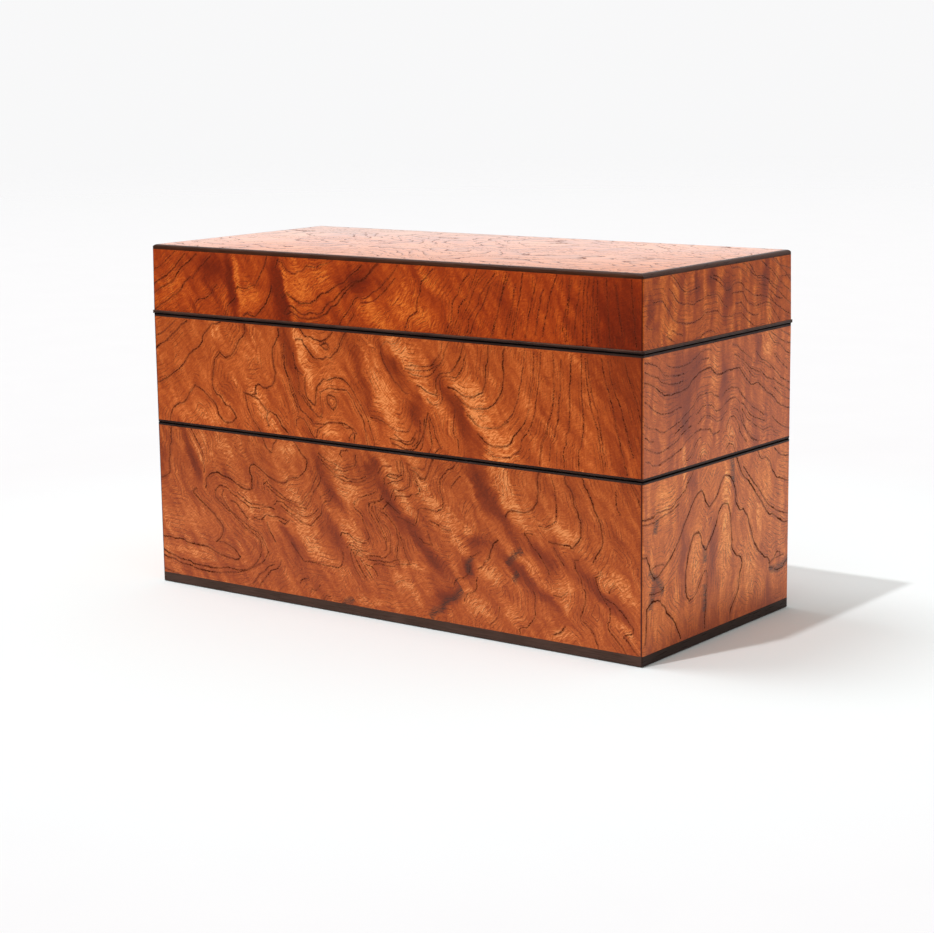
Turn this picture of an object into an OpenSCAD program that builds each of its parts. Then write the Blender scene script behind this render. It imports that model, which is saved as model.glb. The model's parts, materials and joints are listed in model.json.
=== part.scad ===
// Two-tier stacking box with a lift-off lid, in figured wood edged with dark wood.
// Millimetres. The origin is the middle of the footprint, +Z is up and -Y is the front.

/* [Overall] */
// Width of the box across its long front face
box_w = 303; // [220:1:420]
// Depth of the box from its front face to its back face
box_d = 136; // [100:1:300]

/* [Heights] */
// Height of the lower tier, from the surface it stands on to its rim
lower_tier_h = 86.2; // [60:0.1:140]
// Height of the upper tier, from the mid seam to its rim
upper_tier_h = 57.8; // [40:0.1:110]
// Height of the lid, from the upper tier's rim to the flat of its top
lid_h = 36; // [24:0.1:60]

/* [Boards and panels] */
// Thickness of the side boards
board_t = 8; // [7:0.5:12]
// Thickness of the two bottom panels
panel_t = 5; // [4:0.5:8]
// Thickness of the tongue round a bottom panel, flush with the panel's upper face
tongue_t = 3; // [2:0.5:4]
// Depth of the groove that holds a tongue
groove_depth = 4; // [2:0.5:5]
// Room between a tongue's edge and the bottom of its groove, for the wood to swell
panel_play = 0.3; // [0.2:0.1:0.8]
// Wood left below the groove in the lower tier's boards
groove_toe = 3.5; // [2:0.5:6]
// Thickness of the lid's top panel
top_panel_t = 6; // [4:0.5:9]
// How far the lid's faces lean in between its rim and its top
lid_lean = 0.36; // [0.1:0.02:1]
// Rounding of the box's upright corners
arris_r = 0.9; // [0.4:0.1:1.5]

/* [Dark edging] */
// Height of the base rails
base_rail_h = 5; // [3:0.5:8]
// Rounding along the base rails' lower outer edge
base_round = 0.7; // [0.3:0.1:1.5]
// Height of each of the two strips that meet at the mid seam
seam_edging_h = 1.4; // [1:0.1:3]
// Chamfer on those two strips, which makes the V along the mid seam
seam_chamfer = 0.5; // [0.2:0.1:0.8]
// Height of the strip along the upper tier's rim
rim_edging_h = 1.5; // [1:0.1:3]
// Rounding along that strip's upper outer edge
rim_round = 0.6; // [0.2:0.1:0.9]
// Height of the beaded strip along the lid's rim
bead_h = 1.7; // [1.2:0.1:3]
// How far the bead stands proud of the box's faces, as a lip for the fingertips
bead_out = 0.7; // [0.3:0.1:1]
// Width and height of the square strip round the lid's top
top_edging = 2.4; // [2.2:0.1:4]
// Rounding along that strip's upper outer edge
top_round = 2; // [0.6:0.1:2]

/* [Inner lips] */
// Thickness of the lip strips inside the two tiers
lip_t = 3; // [2:0.5:5]
// How far a lip stands above its tier's rim
lip_h = 5.5; // [3:0.5:9]
// How far a lip reaches down inside its tier
lip_depth = 12; // [8:1:20]
// Gap between a lip and the boards of the tier or lid that drops over it
lip_clearance = 0.3; // [0.2:0.05:0.8]
// Gap between the lower tier's lip and the underside of the upper tier's panel
lip_headroom = 1; // [0.5:0.5:3]
// Chamfer that leads a tier or the lid onto a lip
lip_lead = 1; // [0.5:0.1:1.5]

/* [Corner splines] */
// Thickness of the hidden splines in the mitred corners
spline_t = 2; // [1:0.5:2.5]
// Width of a spline across its mitre
spline_w = 7; // [4:0.5:7]
// Distance from the inner corner to the middle of a spline, along the mitre
spline_inset = 4; // [2.5:0.5:4.5]
// Wood between the ends of a spline's slot and the nearest groove, rebate or edge
spline_stop = 4; // [2:0.5:5]
// Room at each end of a spline in its slot
spline_play = 0.2; // [0.1:0.1:0.5]

/* [Hidden] */
SIDES = ["front", "right", "back", "left"];

// Levels, from the surface that the box stands on
mid_z = lower_tier_h;
rim_z = mid_z + upper_tier_h;
top_z = rim_z + lid_h;
lid_face_z = rim_z + bead_h;
lid_board_top_z = top_z - top_edging;
lid_rebate_z = top_z - top_panel_t;
lower_groove_z = base_rail_h + groove_toe;
upper_groove_z = mid_z + lip_h + lip_headroom + panel_t - tongue_t;
// Inward lean of the lid's faces for each millimetre of height
lean_rate = lid_lean / (top_z - lid_face_z);
// Distance from the box's nominal face to the top panel's edge
top_panel_inset = lid_lean + top_edging;
// Reach of a mitre cut beyond the deepest piece that it cuts
mitre_reach = board_t + lip_t + 1;
// How far a cutting shape runs past what it cuts
over = 1;
// Straight pieces that make a quarter of a rounding
arc_steps = 8;
figured_wood = [0.64, 0.33, 0.17];
dark_wood = [0.20, 0.14, 0.12];
inner_wood = [0.72, 0.48, 0.30];

// Points of an arc about [x, y] with radius r, from angle a to angle b
function arc(x, y, r, a, b) =
    let (n = max(2, round(arc_steps * abs(b - a) / 90)))
    [for (i = [0:n]) let (t = a + (b - a) * i / n) [x + r * cos(t), y + r * sin(t)]];

// Width of the box along one side, and its depth behind that side
function side_w(side) = side % 2 == 0 ? box_w : box_d;
function side_d(side) = side % 2 == 0 ? box_d : box_w;

// Plan of one mitred side piece that lies against the face at -Y. It stands out of the box by
// out, reaches in by reach, and has its half of each corner's rounding r
function side_plan(w, d, out, reach, r) =
    let (a = w / 2 + out, b = d / 2 + out, corner = arc(a - r, r - b, r, -90, -45))
    concat(
        corner,
        [[w / 2 - reach, reach - d / 2], [reach - w / 2, reach - d / 2]],
        [for (i = [len(corner) - 1:-1:0]) [-corner[i][0], corner[i][1]]]
    );

// Turns a piece that was made for the front to one of the four sides
module to_side(side) rotate([0, 0, 90 * side]) children();

// A strip with a section drawn as [distance in from the face, height]
module strip(side, section, z)
    translate([-side_w(side) / 2 - over, -side_d(side) / 2, z])
        rotate([90, 0, 90])
            linear_extrude(height = side_w(side) + 2 * over)
                polygon(section);

// The upright prism over the plan of a mitred side piece
module mitre_prism(side, z0, z1, out = 0, reach = mitre_reach, r = arris_r)
    translate([0, 0, z0])
        linear_extrude(height = z1 - z0)
            polygon(side_plan(side_w(side), side_d(side), out, reach, r));

// A mitred strip of the given section, from level z0 to level z1
module mitred_strip(side, section, z0, z1, out = 0)
    to_side(side)
        intersection() {
            strip(side, section, z0);
            mitre_prism(side, z0, z1, out, mitre_reach, arris_r + out);
        }

// One solid at each corner of a side, made for its right-hand end
module both_ends() {
    children();
    mirror([1, 0, 0]) children();
}

// An upright bar across the mitre at the right-hand end of the front
module spline_bar(side, z0, z1, play)
    translate([side_w(side) / 2 - board_t, board_t - side_d(side) / 2, z0 + play])
        rotate([0, 0, -45])
            translate([spline_inset - spline_t / 2, -spline_w / 2, 0])
                cube([spline_t, spline_w, z1 - z0 - 2 * play]);

// The bars of all four corners
module corner_splines(z0, z1)
    color(inner_wood)
        for (side = [0, 2])
            to_side(side)
                both_ends()
                    spline_bar(side, z0, z1, spline_play);

// Levels between which a tier's splines lie, and those of the lid
function lower_spline_z() = [lower_groove_z + tongue_t + spline_stop, mid_z - seam_edging_h - spline_stop];
function upper_spline_z() = [upper_groove_z + tongue_t + spline_stop, rim_z - rim_edging_h - spline_stop];
function lid_spline_z() = [lid_face_z + spline_stop, lid_rebate_z - spline_stop];

// A side board of a tier, with the panel's groove and its spline slots
module tier_board(side, z0, z1, groove_z, spline_z)
    color(figured_wood)
        to_side(side)
            difference() {
                mitre_prism(side, z0, z1, 0, board_t);
                translate([-side_w(side) / 2, board_t - groove_depth - side_d(side) / 2, groove_z])
                    cube([side_w(side), groove_depth + over, tongue_t]);
                both_ends() spline_bar(side, spline_z[0], spline_z[1], 0);
            }

// A bottom panel with a tongue all round, held in the boards' grooves
module bottom_panel(groove_z) {
    tongue_in = board_t - groove_depth + panel_play;
    body_in = board_t + panel_play;
    color(inner_wood) {
        translate([tongue_in - box_w / 2, tongue_in - box_d / 2, groove_z])
            cube([box_w - 2 * tongue_in, box_d - 2 * tongue_in, tongue_t]);
        if (panel_t > tongue_t)
            translate([body_in - box_w / 2, body_in - box_d / 2, groove_z + tongue_t - panel_t])
                cube([box_w - 2 * body_in, box_d - 2 * body_in, panel_t - tongue_t]);
    }
}

// A lip strip inside a tier's mouth, which locates the tier or lid above
module lip(side, z) {
    free_in = board_t + lip_clearance;
    color(inner_wood)
        mitred_strip(side, [
            [board_t, 0],
            [board_t + lip_t, 0],
            [board_t + lip_t, lip_depth + lip_h],
            [free_in + lip_lead, lip_depth + lip_h],
            [free_in, lip_depth + lip_h - lip_lead],
            [free_in, lip_depth],
            [board_t, lip_depth]
        ], z - lip_depth, z + lip_h);
}

// A dark rail under the lower tier's boards, which the box stands on
module base_rail(side)
    color(dark_wood)
        mitred_strip(side, concat(
            arc(base_round, base_round, base_round, 180, 270),
            [[board_t, 0], [board_t, base_rail_h], [0, base_rail_h]]
        ), 0, base_rail_h);

// The strip on the lower tier's rim, chamfered along the mid seam
module lower_top_edging(side)
    color(dark_wood)
        mitred_strip(side, [
            [0, 0],
            [board_t, 0],
            [board_t, seam_edging_h],
            [seam_chamfer, seam_edging_h],
            [0, seam_edging_h - seam_chamfer]
        ], mid_z - seam_edging_h, mid_z);

// The strip under the upper tier's boards, chamfered along the mid seam
module upper_bottom_edging(side)
    color(dark_wood)
        mitred_strip(side, [
            [seam_chamfer, 0],
            [board_t, 0],
            [board_t, seam_edging_h],
            [0, seam_edging_h],
            [0, seam_chamfer]
        ], mid_z, mid_z + seam_edging_h);

// The strip on the upper tier's rim
module upper_top_edging(side)
    color(dark_wood)
        mitred_strip(side, concat(
            [[0, 0], [board_t, 0], [board_t, rim_edging_h]],
            arc(rim_round, rim_edging_h - rim_round, rim_round, 90, 180)
        ), rim_z - rim_edging_h, rim_z);

// The strip along the lid's rim, with a half-round bead for the fingertips
module lid_rim_edging(side)
    color(dark_wood)
        mitred_strip(side, concat(
            [[board_t, 0], [board_t, bead_h]],
            arc(bead_h / 2 - bead_out, bead_h / 2, bead_h / 2, 90, 270)
        ), rim_z, lid_face_z, bead_out);

// What the rounding takes off the lid's leaning corner at the right-hand end of a side
module leaning_arris_cut(side)
    translate([side_w(side) / 2, -side_d(side) / 2, lid_face_z])
        rotate(a = atan(lean_rate * sqrt(2)), v = [-1, -1, 0])
            translate([0, 0, -over])
                linear_extrude(height = lid_h + 2 * over)
                    polygon(concat(
                        arc(-arris_r, arris_r, arris_r, -90, 0),
                        [[over, arris_r], [over, -over], [-arris_r, -over]]
                    ));

// A mitred piece of the lid's leaning side, from level z0 to level z1
module lid_side_piece(side, section, z0, z1)
    to_side(side)
        difference() {
            intersection() {
                strip(side, section, lid_face_z);
                mitre_prism(side, z0, z1, over, mitre_reach, over);
            }
            both_ends() leaning_arris_cut(side);
            both_ends() spline_bar(side, lid_spline_z()[0], lid_spline_z()[1], 0);
        }

// A side board of the lid, rebated for the top panel and thin where it backs the top edging
module lid_board(side) {
    rebate = lid_rebate_z - lid_face_z;
    shoulder = lid_board_top_z - lid_face_z;
    color(figured_wood)
        lid_side_piece(side, [
            [0, 0],
            [board_t, 0],
            [board_t, rebate],
            [top_panel_inset, rebate],
            [top_panel_inset, shoulder],
            [lean_rate * shoulder, shoulder]
        ], lid_face_z, lid_board_top_z);
}

// The rounded strip round the lid's top
module lid_top_edging(side) {
    shoulder = lid_board_top_z - lid_face_z;
    crown = top_z - lid_face_z;
    color(dark_wood)
        lid_side_piece(side, concat(
            [
                [lean_rate * shoulder, shoulder],
                [top_panel_inset, shoulder],
                [top_panel_inset, crown]
            ],
            arc(lid_lean + top_round, crown - top_round, top_round, 90, 180)
        ), lid_board_top_z, top_z);
}

// The lid's top, let in flush with the edging round it
module lid_top_panel()
    color(figured_wood)
        translate([top_panel_inset - box_w / 2, top_panel_inset - box_d / 2, lid_rebate_z])
            cube([box_w - 2 * top_panel_inset, box_d - 2 * top_panel_inset, top_panel_t]);

module lower_board(side)
    tier_board(side, base_rail_h, mid_z - seam_edging_h, lower_groove_z, lower_spline_z());

module upper_board(side)
    tier_board(side, mid_z + seam_edging_h, rim_z - rim_edging_h, upper_groove_z, upper_spline_z());

module lower_bottom_panel() bottom_panel(lower_groove_z);

module upper_bottom_panel() bottom_panel(upper_groove_z);

module lower_lip(side) lip(side, mid_z);

module upper_lip(side) lip(side, rim_z);

module lower_corner_splines() corner_splines(lower_spline_z()[0], lower_spline_z()[1]);

module upper_corner_splines() corner_splines(upper_spline_z()[0], upper_spline_z()[1]);

module lid_corner_splines() corner_splines(lid_spline_z()[0], lid_spline_z()[1]);

for (i = [0:3]) {
    lower_board(i);
    base_rail(i);
    lower_top_edging(i);
    lower_lip(i);
    upper_board(i);
    upper_bottom_edging(i);
    upper_top_edging(i);
    upper_lip(i);
    lid_board(i);
    lid_rim_edging(i);
    lid_top_edging(i);
}
lower_bottom_panel();
lower_corner_splines();
upper_bottom_panel();
upper_corner_splines();
lid_top_panel();
lid_corner_splines();
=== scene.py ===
"""The looks of a two-tier stacking box in figured, lacquered wood with dark edging.

The wood's ring lines and its light and dark bands are drawn on each face in millimetres,
with the face's width as the first number and the height as the second.
"""

import functools
import json
import math

import bpy
from mathutils import Matrix, Vector

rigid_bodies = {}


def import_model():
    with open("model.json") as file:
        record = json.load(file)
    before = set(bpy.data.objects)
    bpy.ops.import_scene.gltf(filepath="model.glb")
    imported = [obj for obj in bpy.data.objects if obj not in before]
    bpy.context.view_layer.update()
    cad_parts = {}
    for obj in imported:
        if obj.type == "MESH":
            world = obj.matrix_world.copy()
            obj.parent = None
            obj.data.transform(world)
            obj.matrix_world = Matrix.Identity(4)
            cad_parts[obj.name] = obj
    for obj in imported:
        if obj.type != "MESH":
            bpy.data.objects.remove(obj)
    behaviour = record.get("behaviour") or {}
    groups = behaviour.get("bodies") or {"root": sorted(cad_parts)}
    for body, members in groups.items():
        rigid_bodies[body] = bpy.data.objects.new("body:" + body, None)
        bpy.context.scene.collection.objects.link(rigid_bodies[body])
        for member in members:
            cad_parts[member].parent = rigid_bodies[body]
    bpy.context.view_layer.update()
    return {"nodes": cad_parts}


for leftover in list(bpy.data.objects):
    bpy.data.objects.remove(leftover)
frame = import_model()

# The camera, solved from the straight edges of the photographed box, in metres and degrees
CAMERA_AT = Vector((0.681465, -0.903220, 0.281797))
CAMERA_AZIMUTH = 36.967
CAMERA_ELEVATION = 10.752
CAMERA_ROLL = -0.710
FOCAL_PIXELS = 2237.76
IMAGE_WIDTH = 934
SENSOR_WIDTH = 36

# Sizes of the box that the looks follow, in millimetres, with each tier's heights as low and high
MILLIMETRES = 1000
HALF_WIDTH = 151.5
HALF_DEPTH = 68
TIERS = {"lower": (4, 86), "upper": (86, 144), "lid": (144, 181)}
SEAMS = (86, 144)
BEAD_ARRIS = 145.35
# Where one wood gives way to another: over the rails, under the top's strips and into a board
RAILS_UP_TO = (6, 7)
TOP_STRIPS_FROM = (170, 171)
OUTSIDE_TO = (3, 4)

# The lid's top falls away over this distance from its edges, with this curvature
CROWN_REACH = 56
CROWN_BEND = 0.0023

# Ring lines are cut into runs, each within a bend of a heading, and drawn by curves of so many steps
HEADINGS = 45
BEND = 40
TABLE_STEPS = 255
# A distance that counts as no line at all
FAR = 600
# Bold, fine and dotted lines: full and faded half width, strength, swelling, shade's width and strength
LINE_KINDS = [
    (0.16, 0.5, 0.92, 1.0, 1.5, 0.35),
    (0.05, 0.36, 0.88, 1.2, 1.2, 0.3),
    (0.0, 0.3, 0.9, 1.6, 1.1, 0.25),
]

# How far past its half sizes a patch fades out, and how much the bands change the figure at most
PATCH_SPREAD = 1.7
SWING = 0.34

# The room as reflections show it by height, and its even light on matt surfaces
ROOM_WHITE = (0.94, 0.94, 0.945, 1)
ROOM_WARM = (0.955, 0.93, 0.88, 1)
BRIGHT_BAND = (0.082, 0.135)
BRIGHT_ROOM = 1.75
HIGH_ROOM = 1.35
ROOM_AHEAD = 0.3
AMBIENT = 0.6
# Each lamp's name, strength, spread in degrees and the direction towards it
LAMPS = [
    ("key", 1.02, 1.8, (-0.148, -0.41, 0.90)),
    ("fill", 0.95, 26, (-0.45, -0.10, 0.88)),
]

# The floor's half size and drop in metres, and in millimetres where its painted paler and painted darker
# shades change and where it ends
FLOOR_REACH = 20
FLOOR_DROP = 0.0002
FLOOR_DIMS_AHEAD = (120, 560)
FLOOR_DIMS_ASIDE = (480, 1100)
FLOOR_PAINTED_PALER_TO = (240, 480)
FLOOR_ENDS = (900, 4500)
PAPER = [(0.0, (0.86, 0.865, 0.895)), (1.0, (0.88, 0.885, 0.915))]
PAPER_PAINTED_PALER = (0.90, 0.95, 0.975, 1)
PAPER_PAINTED_DIM = (0.05, 0.05, 0.05, 1)

# Linear colours of the figured wood: beside a ring line, in a stain, and a painted shade on a rounded
# corner
BESIDE_LINES = (0.12, 0.017, 0.002, 1)
STAIN = (0.035, 0.018, 0.012, 1)
CORNER_PAINTED_SHADE = (0.075, 0.008, 0.001, 1)
# Of the lid's top: a painted reflection, orange in front and pale at the back, then beside its rings and in
# its pores
TOP_PAINTED_ORANGE = (0.66, 0.165, 0.012, 1)
TOP_PAINTED_PALE = (0.34, 0.26, 0.22, 1)
TOP_SHADE = (0.2, 0.03, 0.003, 1)
TOP_PORES = (0.13, 0.032, 0.01, 1)
# Of the dark strips, each from trough to highlight
SEAM_STRIPS = [(0.3, (0.020, 0.010, 0.008)), (0.7, (0.058, 0.031, 0.025))]
TOP_STRIPS = [(0.3, (0.030, 0.009, 0.004)), (0.7, (0.076, 0.024, 0.010))]
BASE_RAILS = [(0.3, (0.050, 0.028, 0.020)), (0.7, (0.090, 0.050, 0.038))]
# A painted shade for the base rails' ends
RAIL_ENDS_PAINTED_SHADE = (0.003, 0.004, 0.004, 1)
# A painted shade for the seams' outer edges
SEAM_PAINTED_SHADE = (0.001, 0.0006, 0.0005, 1)
# A painted highlight along the lid bead's upper arris
BEAD_PAINTED_HIGHLIGHT = (0.10, 0.040, 0.022, 1)
# Of the plain wood inside
PLAIN = [(0.3, (0.23, 0.075, 0.022)), (0.5, (0.36, 0.14, 0.05)), (0.7, (0.45, 0.2, 0.08))]
PLAIN_PORES = (0.1, 0.03, 0.01, 1)

# Ring lines of the front, one to a row, as across, up, across, up and so on, from the middle of the base
FRONT_BOLD = [
    [-36.2, 135.3, -34.5, 136.2, -32.5, 135.6, -32.2, 134, -34.2, 133.2, -36.2, 134.6],
    [-86, 106.5, -81, 105.3, -77.4, 102.4, -73.5, 98.7],
    [7.7, 90, 12.7, 88.7, 17.7, 87.8, 21.8, 89.2, 25.2, 93.3, 27.7, 99.2, 29.3, 105.8],
    [1.8, 57.4, 4.1, 59.7, 7.6, 57.9, 10.6, 55.9],
    [65, 39.4, 66.9, 45, 68.1, 47.5, 70.6, 49.4],
    [-151, 145.5, -146, 149, -140, 152, -136, 154.5, -132, 157, -128.5, 161, -125, 164],
    [-150.5, 154.5, -145, 158, -140, 160.5, -136, 163, -132, 167.5, -129, 170, -124, 173, -120, 176.5],
    [-150.5, 159, -146, 162, -141, 164.5, -137.5, 167.5, -134, 170.5, -131, 173.5, -128, 176],
    [-87.5, 146.5, -85.5, 148, -83.5, 147, -81, 146.5, -78, 148, -75, 151, -72.5, 154, -70.5, 157,
     -69.5, 159.5, -68.5, 162.5],
    [-61, 157.5, -58, 159.5, -56, 158, -53, 156.5, -50, 155, -46.5, 155, -43, 155.5, -40, 157,
     -37.5, 159.5, -33.5, 161, -29.5, 163, -25, 165.5, -20, 168, -17, 170.5, -13.5, 173, -10, 175.5],
    [-59.5, 150.5, -58, 152.5, -54.5, 153, -52.5, 152, -50, 150, -46, 149.5, -40.5, 150.5, -37.5, 150.5,
     -34.5, 153, -32, 156, -28, 157.5, -25.5, 160, -22, 163, -18, 166, -13.5, 168, -8, 170, -4.5, 173,
     -2, 175.5, -0.5, 177],
    [-58, 149, -56, 150.5, -53, 149.5, -50.5, 148, -46.5, 147.5, -42, 148, -37, 149, -33, 151,
     -29.5, 154.5, -26, 156, -23.5, 159, -20, 162.5, -15.5, 166, -10.5, 168.5, -6.5, 170.5, -2.5, 174.5,
     0, 176.5],
    [-151, 107.5, -148, 108.5, -144.5, 110, -141, 112, -137.5, 114, -134, 116, -131, 119, -128, 122.5,
     -125, 125, -122, 127, -119.5, 129, -117.5, 132.5, -115, 136, -111.5, 139.5, -108, 141, -104.5, 142],
    [-151, 125.5, -147, 128, -142.5, 130.5, -138, 134, -134.5, 137, -131, 139.5, -128, 141.5],
    [-141.5, 84, -142, 88, -141, 92.5, -139, 95, -135, 98, -130, 100, -128, 103, -125, 106.5, -123.5, 108,
     -119.5, 106.5, -116, 104.5, -113.5, 102.5, -110.5, 100.5, -108, 97, -105.5, 92.5, -101.5, 90.5,
     -97.5, 91, -95.5, 93.5, -97.5, 97, -101.5, 99, -103.5, 100.5, -105.5, 103.5, -108.5, 104.5,
     -110.5, 107, -111, 112, -110.5, 115.5, -109.5, 119, -109, 122, -107, 124.5, -105, 126.5, -103, 125,
     -101, 124, -98.5, 125.5, -95.5, 127.5, -93.5, 130.5, -91, 134, -88.5, 136.5, -87.5, 139, -87.5, 142],
    [-89, 107, -86.5, 106.5, -84, 106.5, -81.5, 107, -81, 110, -80, 111.5, -78, 112, -75.5, 110.5,
     -72.5, 111, -69.5, 112.5, -68.5, 114.5, -67.5, 119, -68.5, 123.5, -69, 128, -67.5, 133, -66, 136.5,
     -64.5, 140, -64.5, 142],
    [-72.5, 91, -74, 94.5, -73.5, 97.5, -71.5, 98.5, -68, 97.5, -65.5, 95, -64, 92, -61, 89.5, -59.5, 88],
    [-50, 142, -48, 139.5, -44, 139, -40.5, 137.5, -37, 137, -34, 138, -31, 140, -29, 142],
    [-53, 136.5, -50.5, 137, -47.5, 134.5, -44.5, 131.5, -42, 129, -38, 128.5, -35.5, 128, -33.5, 129.5,
     -29.5, 130, -26.5, 133, -24.5, 136.5, -23, 139.5, -21, 142],
    [-47.5, 118, -48, 114, -47.5, 110.5, -45.5, 107, -43, 105, -41.5, 104.5, -41, 107.5, -40.5, 112,
     -39.5, 114.5, -37, 117, -33, 117.5, -30, 119, -26.5, 119.5, -23, 119, -19.5, 116.5, -16.5, 114],
    [-33.5, 110, -31, 110.5, -28.5, 109.5, -27.5, 107, -28.5, 104.5, -30, 103.5, -32, 105, -33.5, 107,
     -33.5, 110],
    [24, 120, 28, 118, 31.5, 116.5, 34.5, 116, 35.5, 118, 35, 121.5, 35.5, 124.5, 38, 126.5, 40.5, 127,
     43.5, 128, 45.5, 129.5, 48, 133, 49.5, 135.5, 50.5, 138.5, 51.5, 142],
    [42, 120.5, 45, 120, 48.5, 118.5, 51.5, 117.5, 55, 117, 58.5, 118, 62, 119.5, 64, 123, 64.5, 127,
     64.5, 130, 65.5, 134.5, 66, 142],
    [46.5, 116.5, 49.5, 114.5, 53, 112.5, 58, 111.5, 63, 112, 66.5, 113, 70, 115.5, 72, 118.5, 74, 123.5,
     75, 129.5, 74.5, 133.5, 75.5, 142],
    [60, 99.5, 63, 97, 66.5, 95, 70.5, 94.5, 75, 95, 78.5, 97, 81.5, 101.5, 84.5, 105],
    [7.5, 92, 10.5, 92, 13.5, 91, 17.5, 90.5, 20, 91.5, 22, 94],
    [-151, 56, -147, 57.5, -144, 59.5, -143.5, 62, -144, 65.5, -143.5, 70.5, -143.5, 73.5, -142, 77,
     -142, 82, -142.5, 84],
    [-125.5, 53, -126.5, 52.5, -127, 51, -125, 49, -121.5, 46.5, -118, 44.5, -114.5, 42, -111, 39.5,
     -108, 36.5, -106.5, 33.5, -107.5, 30.5, -109, 28, -111.5, 26.5],
    [-151, 25, -145.5, 24.5, -139.5, 24.5, -134, 24, -128, 23, -122, 23, -117.5, 22.5, -113.5, 21,
     -110.5, 20, -105.5, 19, -101, 18.5, -97.5, 18.5, -95.5, 20, -97.5, 22.5, -100.5, 24.5, -104.5, 26,
     -109, 26.5],
    [-151, 17.5, -146, 15.5, -141, 14.5, -136, 13.5, -131, 13, -126, 12, -121, 12, -115, 12, -109, 12.5],
    [-151, 14.5, -144.5, 13, -139.5, 12, -134, 11, -128, 10.5, -122, 9.5, -116, 9.5, -110.5, 9.5],
    [-118.5, 54.5, -117.5, 56.5, -117, 60, -114, 62, -109.5, 63, -106, 62, -102, 61.5, -98.5, 60, -95, 58,
     -92, 57, -89, 56.5, -86.5, 57, -85.5, 60.5, -86, 64, -87, 67.5, -85.5, 69.5, -83.5, 70.5, -81, 69,
     -78, 67, -74, 65, -69.5, 63, -67, 62.5, -64, 62.5, -61.5, 64.5, -58.5, 66, -54.5, 66.5, -52, 68,
     -49, 70.5, -48.5, 73, -48, 75, -49.5, 77.5, -52, 79.5, -54.5, 82.5, -56.5, 84.5],
    [-100.5, 49.5, -97.5, 48.5, -94.5, 46, -92, 43.5, -90, 42],
    [19, 78, 22.5, 76.5, 25.5, 74.5, 27.5, 74.5, 29, 77.5, 30.5, 81, 32.5, 84.5],
    [75.5, 62, 77, 64, 80, 64.5, 84, 64.5, 87.5, 65.5, 91, 67, 93, 69.5, 93.5, 73, 94, 76.5, 93.5, 80,
     94.5, 84.5],
    [100.5, 52.5, 105, 52, 109, 52, 113, 51, 115, 53, 117, 55.5, 118, 58.5, 118, 62, 117, 65.5, 116, 69,
     114.5, 71, 113.5, 75.5, 112, 79, 110, 81, 109.5, 84.5],
    [125, 46.5, 127, 49.5, 129, 53, 130, 58, 129, 63, 127.5, 67, 125.5, 70, 124, 74, 122.5, 77.5, 120, 82,
     119, 84.5],
    [103, 8.5, 104.5, 9.5, 107, 10.5, 109, 12.5],
]

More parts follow.
